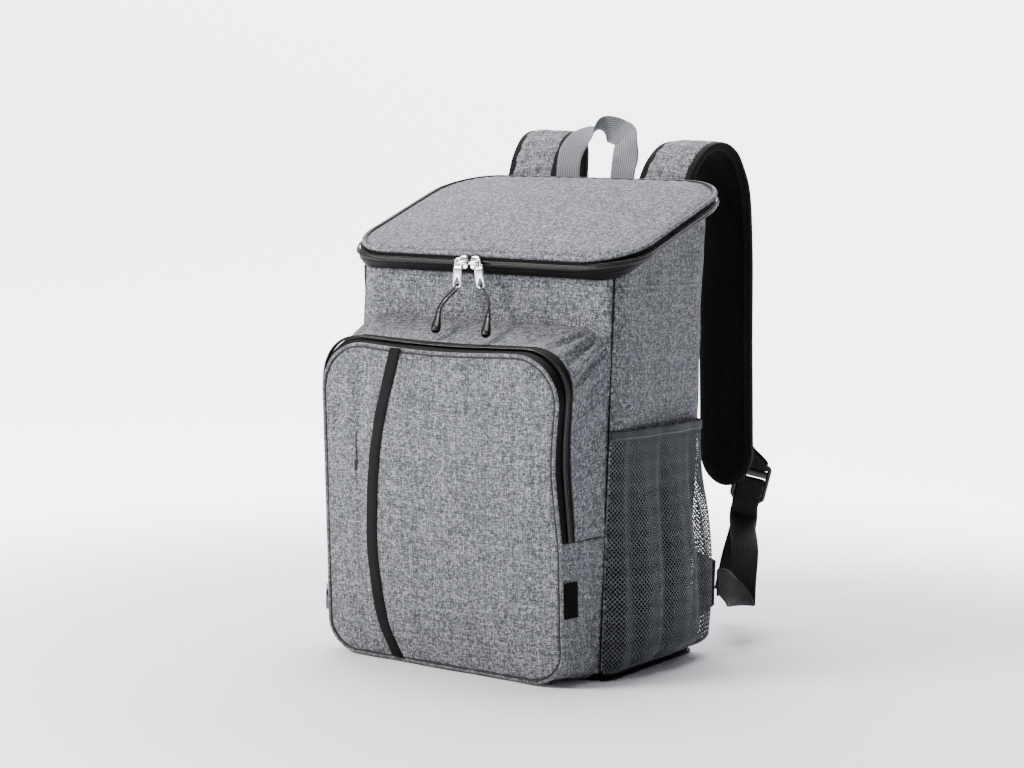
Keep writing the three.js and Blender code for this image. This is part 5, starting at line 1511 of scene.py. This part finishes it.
def strap(side, rise, sign):
    """One strap: its pad of two cloths and the binding round it."""
    total = strap_axes(rise, np.zeros(1))[3]
    straight = np.linspace(0, total - TIP, 230)
    tip = total - TIP * (1 - np.sin(np.linspace(0, np.pi / 2, 26)[1:-1]))
    along = np.concatenate([straight, tip, [total - 0.12]])
    middle, across, facing, _ = strap_axes(rise, along)
    half = strap_half(along, total)[:, None]
    n = 30
    u = np.sin(np.linspace(-np.pi / 2, np.pi / 2, n))[None]
    edge = 1 - np.abs(u) ** 5
    close = np.clip((total - along) / 12, 0, 1)[:, None] ** 0.5
    puff = STRAP_THICK / 2 * (0.36 + 0.64 * np.sqrt(edge)) * (0.45 + 0.55 * close)
    out = half * u
    ripple = 0.45 * waves(along[:, None], out, 46, 121 + int(sign)) + 0.2 * waves(
        along[:, None], out, 18, 123
    )
    bend = 0.8 * bell(along[:, None], 78, 60) * np.sin(2 * np.pi * along[:, None] / 17 + out / 14)
    quilt = (ripple + bend) * edge
    far = middle[:, None] + across[:, None] * out[..., None] + facing[:, None] * (puff + quilt)[..., None]
    near = middle[:, None] + across[:, None] * out[..., None] - facing[:, None] * (
        puff - 0.6 * quilt
    )[..., None]
    shape = np.concatenate([far, near[:, ::-1]], 1) * [sign, 1, 1]
    kinds = lambda quads, ring: ((quads.min(1) % ring) >= n).astype(int)
    pad = skin("strap_pad_" + side, shape, [cloth_lid, spacer_mesh], face_material=kinds)
    finish_piece(pad, "melange_cloth", "shoulder_strap_" + side)
    round_tip = np.linspace(0, np.pi, 70)[1:-1]
    route = np.concatenate([straight, total - TIP + (TIP + BOUND) * np.sin(round_tip), straight[::-1]])
    offs = np.concatenate(
        [
            straight * 0 + STRAP_HALF + BOUND, (STRAP_HALF + BOUND) * np.cos(round_tip),
            straight * 0 - STRAP_HALF - BOUND
        ]
    )
    middle, across, facing, _ = strap_axes(rise, route)
    path = middle + across * offs[:, None]
    _, face_dir, _ = frames(path, facing)
    # the folded tape: 9 mm deep, it wraps 6.5 mm over the pad's edge and is flat on both faces
    ring = np.linspace(0, 2 * np.pi, 22, endpoint=False)
    c, d = np.cos(ring), np.sin(ring)
    thick = 3.9 * np.sign(d) * np.abs(d) ** 0.55
    deep = 4.3 * np.sign(c) * np.abs(c) ** 0.62
    tape = np.stack([thick * (1 + 0.08 * (deep < 0)), deep - 2.2], -1)
    away = unit(np.cross(np.gradient(path, axis=0), face_dir))
    reach = away * np.where(((away * (path - middle)).sum(-1) < 0) & (np.abs(offs) > 3), -1, 1)[:, None]
    wave = 1 + 0.03 * np.sin(lengths(path) * 2 * np.pi / 5.0)[:, None]
    shape = path[:, None] + face_dir[:, None] * (tape[None, :, :1] * wave[:, None]) + reach[:, None] * tape[
        None, :, 1:
    ]
    binding = skin("strap_edge_" + side, shape * [sign, 1, 1], binding_black)
    return finish_piece(binding, "black_cloth", "strap_binding_" + side)


strap("right", 0.0, 1)
strap("left", 8.0, -1)

# %% [markdown]
# ## Ladder locks, tabs and adjusting webbing
#
# Behind each strap's tip hangs a moulded ladder lock. Its top bar is held by a loop of webbing sewn to the
# strap. The adjusting webbing leaves a corner tab at the bag's foot, folds, goes up behind the lock, over
# its middle bar and down again as a free tail whose end is folded into a hem.

# %% Lock frame
LOCK_AT = np.array([121.0, BACK_FACE + 139.5, LID_BACK_Z - 291])
LOCK_YAW, LOCK_TILT = 0.56, -0.21
LOCK_AWAY = np.array([-math.sin(LOCK_YAW), math.cos(LOCK_YAW), 0.0])
LOCK_LEVEL = np.array([math.cos(LOCK_YAW), math.sin(LOCK_YAW), 0.0])
LOCK_ACROSS = LOCK_LEVEL * math.cos(-LOCK_TILT) + np.cross(LOCK_AWAY, LOCK_LEVEL) * math.sin(-LOCK_TILT)
LOCK_UP = np.cross(LOCK_ACROSS, LOCK_AWAY)
LOCK_WIDTH, LOCK_HEIGHT, LOCK_THICK, LOCK_BAR = 35.0, 38.0, 4.0, 4.0
BAR_PITCH = (LOCK_HEIGHT - LOCK_BAR) / 2


def lock_point(across, up, away):
    """A point in the lock's own directions, in mm from its middle."""
    across, up, away = (np.asarray(v, float)[..., None] for v in (across, up, away))
    return LOCK_AT + LOCK_ACROSS * across + LOCK_UP * up + LOCK_AWAY * away


def rounded_loop(half_x, half_y, radius, count):
    """A rounded rectangle's path at even lengths, starting in the middle of its lowest side."""
    shape = {"half_width": half_x, "half_depth": half_y, "radius": radius, "centre_y": 0.0}
    turn = (np.arange(count) / count * 4 + 0.5) % 4
    return round_outline(shape)(turn)[0]


def tube(name, path, side, a, b, material, power=2.6, loop=False, sides=16):
    """A moulded bar: a superellipse of half sizes a, b along a path."""
    return skin(name, sweep(path, side, round_section(a, b, sides, power), loop), material, loop=loop)


outline = rounded_loop(LOCK_WIDTH / 2 - 1.9, LOCK_HEIGHT / 2 - LOCK_BAR / 2, 3.2, 150)
ring_path = lock_point(outline[:, 0], outline[:, 1], 0 * outline[:, 0])
lock_ring = tube("lock_ring_right", ring_path, LOCK_AWAY, 3.6, 2.1, moulded_black, 3.4, True)
bar_x = np.linspace(-LOCK_WIDTH / 2 + 2.4, LOCK_WIDTH / 2 - 2.4, 24)
bars = [
    tube(
        "lock_middle_bar_right", lock_point(bar_x, 0 * bar_x, 0 * bar_x), LOCK_UP, LOCK_BAR / 2 - 0.1,
        LOCK_THICK / 2 - 0.1, moulded_black, 3.2
    )
]
lip_x = np.linspace(-LOCK_WIDTH / 2 + 3, LOCK_WIDTH / 2 - 3, 24)
lip = tube(
    "lock_lip_right", lock_point(lip_x, 0 * lip_x - LOCK_HEIGHT / 2 + 0.4, 0 * lip_x + 1.2), LOCK_UP, 1.5,
    1.7, moulded_black, 2.4
)
plate_x = np.linspace(-LOCK_WIDTH / 2 + 2.4, LOCK_WIDTH / 2 - 2.4, 24)
plate = tube(
    "lock_plate_right", lock_point(plate_x, 0 * plate_x + 8.8, 0 * plate_x), LOCK_UP, 3.6, 1.7,
    moulded_black, 4.0
)
for piece in (lock_ring, *bars, plate, lip):
    finish_piece(piece, "moulded", "ladder_lock_right")
    finish_piece(other_side(piece, piece.name.replace("right", "left")), "moulded", "ladder_lock_left")

# %% Corner tabs
corner_spot, corner_normal, _ = quarter(BODY_SHAPE, 2, np.zeros(1))
corner_spot, corner_normal = corner_spot[0], corner_normal[0]
CORNER_OUT = np.array([corner_normal[0], corner_normal[1], 0.0])
CORNER_ASIDE = np.array([-corner_normal[1], corner_normal[0], 0.0])
TAB_START = 2 * SEAM_PIPING + 2 * SEAM
TAB_END = TAB_START + 22.0
out, up = np.meshgrid(np.linspace(0, 1, 24), np.linspace(0, 1, 40))
low, high = 26 + 16 * out, 94 - 10 * out
z = low + up * (high - low)
reach = TAB_START + out * (TAB_END - TAB_START)
edge = np.minimum(np.minimum(up, 1 - up) * (high - low), np.minimum(out, 1 - out) * 22)
thick = 1.5 * np.sqrt(np.clip(1 - (1 - np.clip(edge / 1.5, 0, 1)) ** 2, 0, 1)) + 0.12
thick = thick - 0.35 * bell(edge, 3.2, 0.7)
sway = 0.5 * waves(reach, z, 40, 131)
base = np.array(
    [corner_spot[0], corner_spot[1], 0.0]
) + CORNER_OUT * reach[..., None] + np.array([0, 0, 1.0]) * z[..., None]
tab = slab(
    "strap_tab_right", base + CORNER_ASIDE * (sway + thick)[..., None],
    base + CORNER_ASIDE * (sway - thick)[..., None], webbing_dark
)
finish_piece(tab, "black_cloth", "corner_tab_right")
finish_piece(other_side(tab, "strap_tab_left"), "black_cloth", "corner_tab_left")

# %% Adjusting webbing and lock loops
SLACK_LINE = [
    (1.2, 1.2, 0, 0), (3, 8, 0, 0), (5, 20, -8, 0.1), (5, 36, -18, 0.45), (3, 48, -26, 0.8), (
        1, 56, -29, 0.95
    ),
    (-1, 61, -24, 1), (-3, 65, -10, 1), (-11, 84, 18, 1),
]
TAIL_LINE = [(-3, -5, -42), (-8, -12, -76), (-12, -17, -110)]
AWAY = LOCK_THICK / 2 + 0.5 + WEBBING_THICK / 2
ROUND_BAR = [(0, -1), (0.9, -0.9), (1.15, 0), (0.9, 0.9), (0, 1)]
start = np.array([corner_spot[0], corner_spot[1], 63.0]) + CORNER_OUT * (TAB_END + SEAM)
upright = np.array([0.0, 0.0, 1.0])
rows = [
    np.concatenate([start + [o, b, u], upright * (1 - level) + LOCK_LEVEL * level]) for o, b, u,
    level in SLACK_LINE
]
rows += [np.concatenate([lock_point(0, u, -AWAY), LOCK_ACROSS]) for u in (-34, -20, -6)]
rows += [np.concatenate([lock_point(0, u * AWAY, a * AWAY), LOCK_ACROSS]) for u, a in ROUND_BAR]
rows += [np.concatenate([lock_point(0, u, AWAY), LOCK_ACROSS]) for u in (-8, -20)]
rows += [np.concatenate([lock_point(0, 0, AWAY) + [o, b, u], LOCK_LEVEL]) for o, b, u in TAIL_LINE]
path = spline(np.array(rows), 420)
thick = WEBBING_THICK / 2 + 0 * path[:, 0]
end_run = lengths(path[:, :3])[-1] - lengths(path[:, :3])
hem = 1.3 * smooth(15.0, 12.5, end_run) * (0.6 + 0.4 * np.abs(np.cos(end_run * 0.42)))
section = webbing_section[None] * np.stack([1 + 0 * thick, 1 + hem / (WEBBING_THICK / 2)], -1)[:, None]
webbing = skin("adjuster_right", sweep(path[:, :3], path[:, 3:], section), webbing_dark)
finish_piece(webbing, "webbing", "adjusting_webbing_right")
finish_piece(other_side(webbing, "adjuster_left"), "webbing", "adjusting_webbing_left")

strap_total = strap_axes(0.0, np.zeros(1))[3]


def on_strap(back, layer):
    """A point behind the strap near its tip: back mm from the tip, in layers of webbing."""
    middle, across, facing, _ = strap_axes(0.0, np.array([strap_total - back]))
    off = STRAP_THICK / 2 + SEAM + WEBBING_THICK / 2 + layer * (WEBBING_THICK + SEAM)
    return (middle + across * 9.5 + facing * off)[0]


level = np.array([1.0, 0.0, 0.0])
rows = [np.concatenate([on_strap(*at), level]) for at in ((48, 0), (40, 0), (32, 1.6))]
rows += [np.concatenate([lock_point(0, BAR_PITCH - u * AWAY, a * AWAY), LOCK_ACROSS]) for u, a in ROUND_BAR]
rows += [np.concatenate([lock_point(0, BAR_PITCH + LOCK_BAR, AWAY), LOCK_ACROSS])]
rows += [np.concatenate([on_strap(*at), level]) for at in ((36, 3), (48, 1))]
path = spline(np.array(rows), 150)
side = unit(path[:, 3:])
along = unit(np.gradient(path[:, :3], axis=0))
face = unit(np.cross(along, side))
section = path[
    :, None, :3
] + side[:, None] * webbing_section[None, :, :1] + face[:, None] * webbing_section[None, :, 1:]
loop = skin("lock_strap_right", section, webbing_dark)
finish_piece(loop, "webbing", "lock_loop_right")
finish_piece(other_side(loop, "lock_strap_left"), "webbing", "lock_loop_left")

# %% [markdown]
# ## Sliders and pulls
#
# Each slider is a plated casting: a rounded body over the coil with a bail, a small bridge that the pull
# hangs from. The pull is a flat plate with a ring round the bail at its top and a hole for the cord.

# %% Sliders and pull tabs
SLIDER_X = {"left": -7.7, "right": 4.7}
PULL_TILT = {"left": 0.0, "right": -0.2}
SLIDER_WIDTH, SLIDER_HEIGHT, SLIDER_DEEP = 10.0, 12.0, 3.0
BAIL_OPENING, BAIL_BAR = 2.2, 1.5
PULL_LENGTH, PULL_WIDTH, PULL_THICK, HOLE = 26.5, 9.0, 1.2, 2.5
middle_point = teeth_path[len(teeth_path) // 2]
middle_lean = band_lean[len(band_lean) // 2]
slider_back = middle_point[1] - math.hypot(2.6 * middle_lean[1], 1.3 * middle_lean[2]) - SEAM
slider_z = middle_point[2]
leg_out = SLIDER_WIDTH / 2 - BAIL_BAR / 2


def pebble(name, centre, half, material, power=4.0, rows=26, sides=40):
    """A superellipsoid: a box whose edges are rounded more the smaller the power is."""
    lat = np.linspace(-np.pi / 2, np.pi / 2, rows)[:, None]
    lon = np.linspace(0, 2 * np.pi, sides, endpoint=False)[None]
    e = 2 / power
    signed = lambda v: np.sign(v) * np.abs(v) ** e
    ring = np.clip(np.cos(lat), 1e-3, 1) ** e
    x, y, z = half[0] * ring * signed(
        np.cos(lon)
    ), half[1] * ring * signed(np.sin(lon)), half[2] * signed(np.sin(lat)) + 0 * lon
    return skin(name, np.stack([x, y, z], -1) + centre, material)


def pull_plate(name, x, tilt):
    """A flat plate with a round hole low down and a ring at its top, turned by tilt round the bail."""
    top, half = BAIL_BAR + SEAM + 1.8, PULL_WIDTH / 2
    hole_z = top - PULL_LENGTH + half
    angle = np.linspace(0, 2 * np.pi, 120, endpoint=False)
    c, s = np.cos(angle), np.sin(angle)
    # the plate's edge seen from the hole: a circle below, straight sides up to the shoulders above
    rise = top - hole_z - 5.2
    side_reach = half / np.maximum(np.abs(c), 1e-6)
    up_reach = rise / np.maximum(s, 1e-6)
    edge = np.where(
        s <= 0, half, np.minimum(np.minimum(side_reach, up_reach), math.hypot(half * 0.85, rise))
    )
    rows = []
    for reach, off in (
        (0, -0.5), (0, 0.5), (0.35, 1), (0.65, 1), (1, 0.5), (1, -0.5), (0.65, -1), (0.35, -1)
    ):
        radius = (HOLE + (0.25 if abs(off) == 1 else 0)) * (1 - reach) + (
            edge - (0.3 if abs(off) == 1 else 0)
        ) * reach
        rows.append(np.stack([radius * c, 0 * c + off * PULL_THICK / 2, hole_z + radius * s], -1))
    plate = np.stack(rows, 1)
    turned = lambda p: np.stack(
        [
            p[..., 0] * math.cos(tilt) + p[..., 2] * math.sin(tilt), p[..., 1],
            -p[..., 0] * math.sin(tilt) + p[..., 2] * math.cos(tilt)
        ],
        -1
    )
    place = np.array([x, slider_back - SLIDER_DEEP - BAIL_OPENING / 2, slider_z])
    plate = skin(name, turned(plate) + place, silver, loop=True)
    eye = rounded_loop(2.35, 3.4, 1.6, 90)
    eye_path = np.stack([eye[:, 0], 0 * eye[:, 0], eye[:, 1] - 0.35], -1)
    ring = skin(
        name + "_eye",
        turned(
            sweep(eye_path, [0.0, 1.0, 0.0], round_section(PULL_THICK / 2, 0.95, 14, 2.8), True)
        ) + place,
        silver, loop=True
    )
    return plate, ring


for side, x in SLIDER_X.items():
    at = np.array([x, slider_back - SLIDER_DEEP / 2, slider_z])
    body = pebble("slider_" + side, at, (SLIDER_WIDTH / 2, SLIDER_DEEP / 2, SLIDER_HEIGHT / 2), silver, 3.4)
    half_bail = SLIDER_WIDTH / 2 - BAIL_BAR / 2
    arch = np.array(
        [
            (-half_bail, -1.2), (-half_bail, 1.4), (-half_bail + 0.4, 2.5), (-half_bail + 1.5, 2.95),
            (0, 3.05), (half_bail - 1.5, 2.95), (half_bail - 0.4, 2.5), (half_bail, 1.4), (half_bail, -1.2)
        ]
    )
    arch_path = spline(
        np.stack([x + arch[:, 0], slider_back - SLIDER_DEEP - arch[:, 1], slider_z + 0 * arch[:, 0]], -1),
        70
    )
    bail = tube("slider_bail_" + side, arch_path, [0.0, 0.0, 1.0], 1.5, BAIL_BAR / 2, silver, 2.6)
    for piece in (body, bail):
        finish_piece(piece, "silver", "lid_slider_" + side)
    for piece in pull_plate(
        "pull_" + side, x + (leg_out if side == "right" else -leg_out), PULL_TILT[side]
    ):
        finish_piece(piece, "silver", "lid_pull_" + side)

# %% The pocket's slider, closed low on the left
seat_z = ZIP_LEFT_END + SLIDER_HEIGHT
behind = PIPING_CLEAR + POCKET_TAPE / 2
share = behind / (BODY_FRONT - 0.7 - edge_y(seat_z))
seat_out = 0.6 + 2.6 + SEAM
seat_x = POCKET_FRONT["shift"] - POCKET_FRONT["half"] - seat_out + (
    -POCKET_BACK["half"] - POCKET_FRONT["shift"] + POCKET_FRONT["half"]
) * share
seat = np.array([seat_x, edge_y(seat_z) + behind, seat_z])
body = pebble(
    "pocket_slider_body", seat - [SLIDER_DEEP / 2, 0, 0],
    (SLIDER_DEEP / 2, SLIDER_WIDTH / 2, SLIDER_HEIGHT / 2), silver, 3.4
)
neck = pebble("pocket_slider_neck", seat - [SLIDER_DEEP / 2 + 1.9, 0, -1.5], (1.9, 3.6, 1.5), silver, 3.0)
plate = pebble(
    "pocket_slider_tab", seat - [SLIDER_DEEP + 1.6, 0, 10.2], (0.7, PULL_WIDTH / 2, 13.2), silver, 4.5
)
for piece in (body, neck, plate):
    finish_piece(piece, "silver", "pocket_slider")

# %% [markdown]
# ## Floor and light
#
# The photograph is a packshot: a white room, a soft light from the upper left and front, and a pale shadow
# on the right. The floor rises behind the bag in one smooth curve.

# %% Backdrop, lamps and world
def backdrop():
    """A floor that curves up into a wall, far behind: one profile carried sideways."""
    t = np.linspace(0, np.pi / 2, 30)
    radius, far = 1500.0, 2600.0
    y = np.concatenate([[-6000.0, -3000.0, 0.0, far - 300], far + radius * np.sin(t), [far + radius]])
    z = np.concatenate([[0.0, 0.0, 0.0, 0.0], radius * (1 - np.cos(t)), [6000.0]])
    x = np.linspace(-7000, 7000, 20)
    points = np.stack(np.broadcast_arrays(x[:, None], y[None], z[None] - 0.4), -1).reshape(-1, 3)
    rows, ring = len(x), len(y)
    i, j = np.meshgrid(np.arange(rows - 1), np.arange(ring - 1), indexing="ij")
    here = (i * ring + j).ravel()
    return mesh_from(
        "backdrop", points, np.stack([here, here + ring, here + ring + 1, here + 1], -1), None, paper
    )


paper, tree, shader = new_material("backdrop_paper", Roughness=0.95)
place = add_node(tree, "ShaderNodeTexCoord").outputs["Object"]
grain = noise(tree, scaled(tree, place, (400, 400, 400)), 2.0)
tree.links.new(ramp(tree, grain, [(0.3, "#f4f4f8"), (0.7, "#fbfbff")]), shader.inputs["Base Color"])
# the paper is lit from beneath away from the bag, as a light table is, but not far to the right, where
# it would light the bag's shaded side
far = add_node(tree, "ShaderNodeVectorMath", {0: place}, operation="LENGTH").outputs["Value"]
aside = add_node(tree, "ShaderNodeSeparateXYZ", {"Vector": place}).outputs["X"]
distance = maths(tree, "SUBTRACT", far, maths(tree, "MULTIPLY", aside, 0.15))
glow = add_node(
    tree, "ShaderNodeMapRange", {"Value": distance, "From Min": 0.25, "From Max": 1.3, "To Max": 3.6},
    interpolation_type="SMOOTHERSTEP"
)
shader.inputs["Emission Color"].default_value = linear("#fbfbff")
table = add_node(
    tree, "ShaderNodeMapRange",
    {"Value": aside, "From Min": 0.3, "From Max": 0.65, "To Min": 1.0, "To Max": 0.0}
)
tree.links.new(
    maths(tree, "MULTIPLY", glow.outputs["Result"], table.outputs["Result"]),
    shader.inputs["Emission Strength"]
)
backdrop()


def lamp(name, at, towards, size, watts, colour):
    """A square area lamp in metres, aimed at a point."""
    data = bpy.data.lights.new(name, "AREA")
    data.energy, data.size, data.color = watts, size, linear(colour)[:3]
    piece = bpy.data.objects.new(name, data)
    bpy.context.scene.collection.objects.link(piece)
    back = unit(np.array(at) - np.array(towards))
    across = unit(np.cross([0.0, 0.0, 1.0], back))
    matrix = np.eye(4)
    matrix[:3, 0], matrix[:3, 1], matrix[:3, 2], matrix[:3, 3] = across, np.cross(back, across), back, at
    piece.matrix_world = Matrix(matrix.tolist())
    return piece


lamp("key", (-1.5, -2.3, 2.2), (0.0, 0.0, 0.25), 1.0, 165, "#fffaf5")
lamp("fill", (1.2, -3.0, 0.8), (0.0, 0.0, 0.2), 2.0, 4, "#eef2ff")
lamp("top", (-0.3, 0.3, 2.4), (0.0, 0.0, 0.2), 1.4, 85, "#ffffff")
world = bpy.data.worlds.new("studio")
bpy.context.scene.world = world
world.use_nodes = True
world.node_tree.nodes["Background"].inputs["Color"].default_value = linear("#eef0fa")
world.node_tree.nodes["Background"].inputs["Strength"].default_value = 0.14
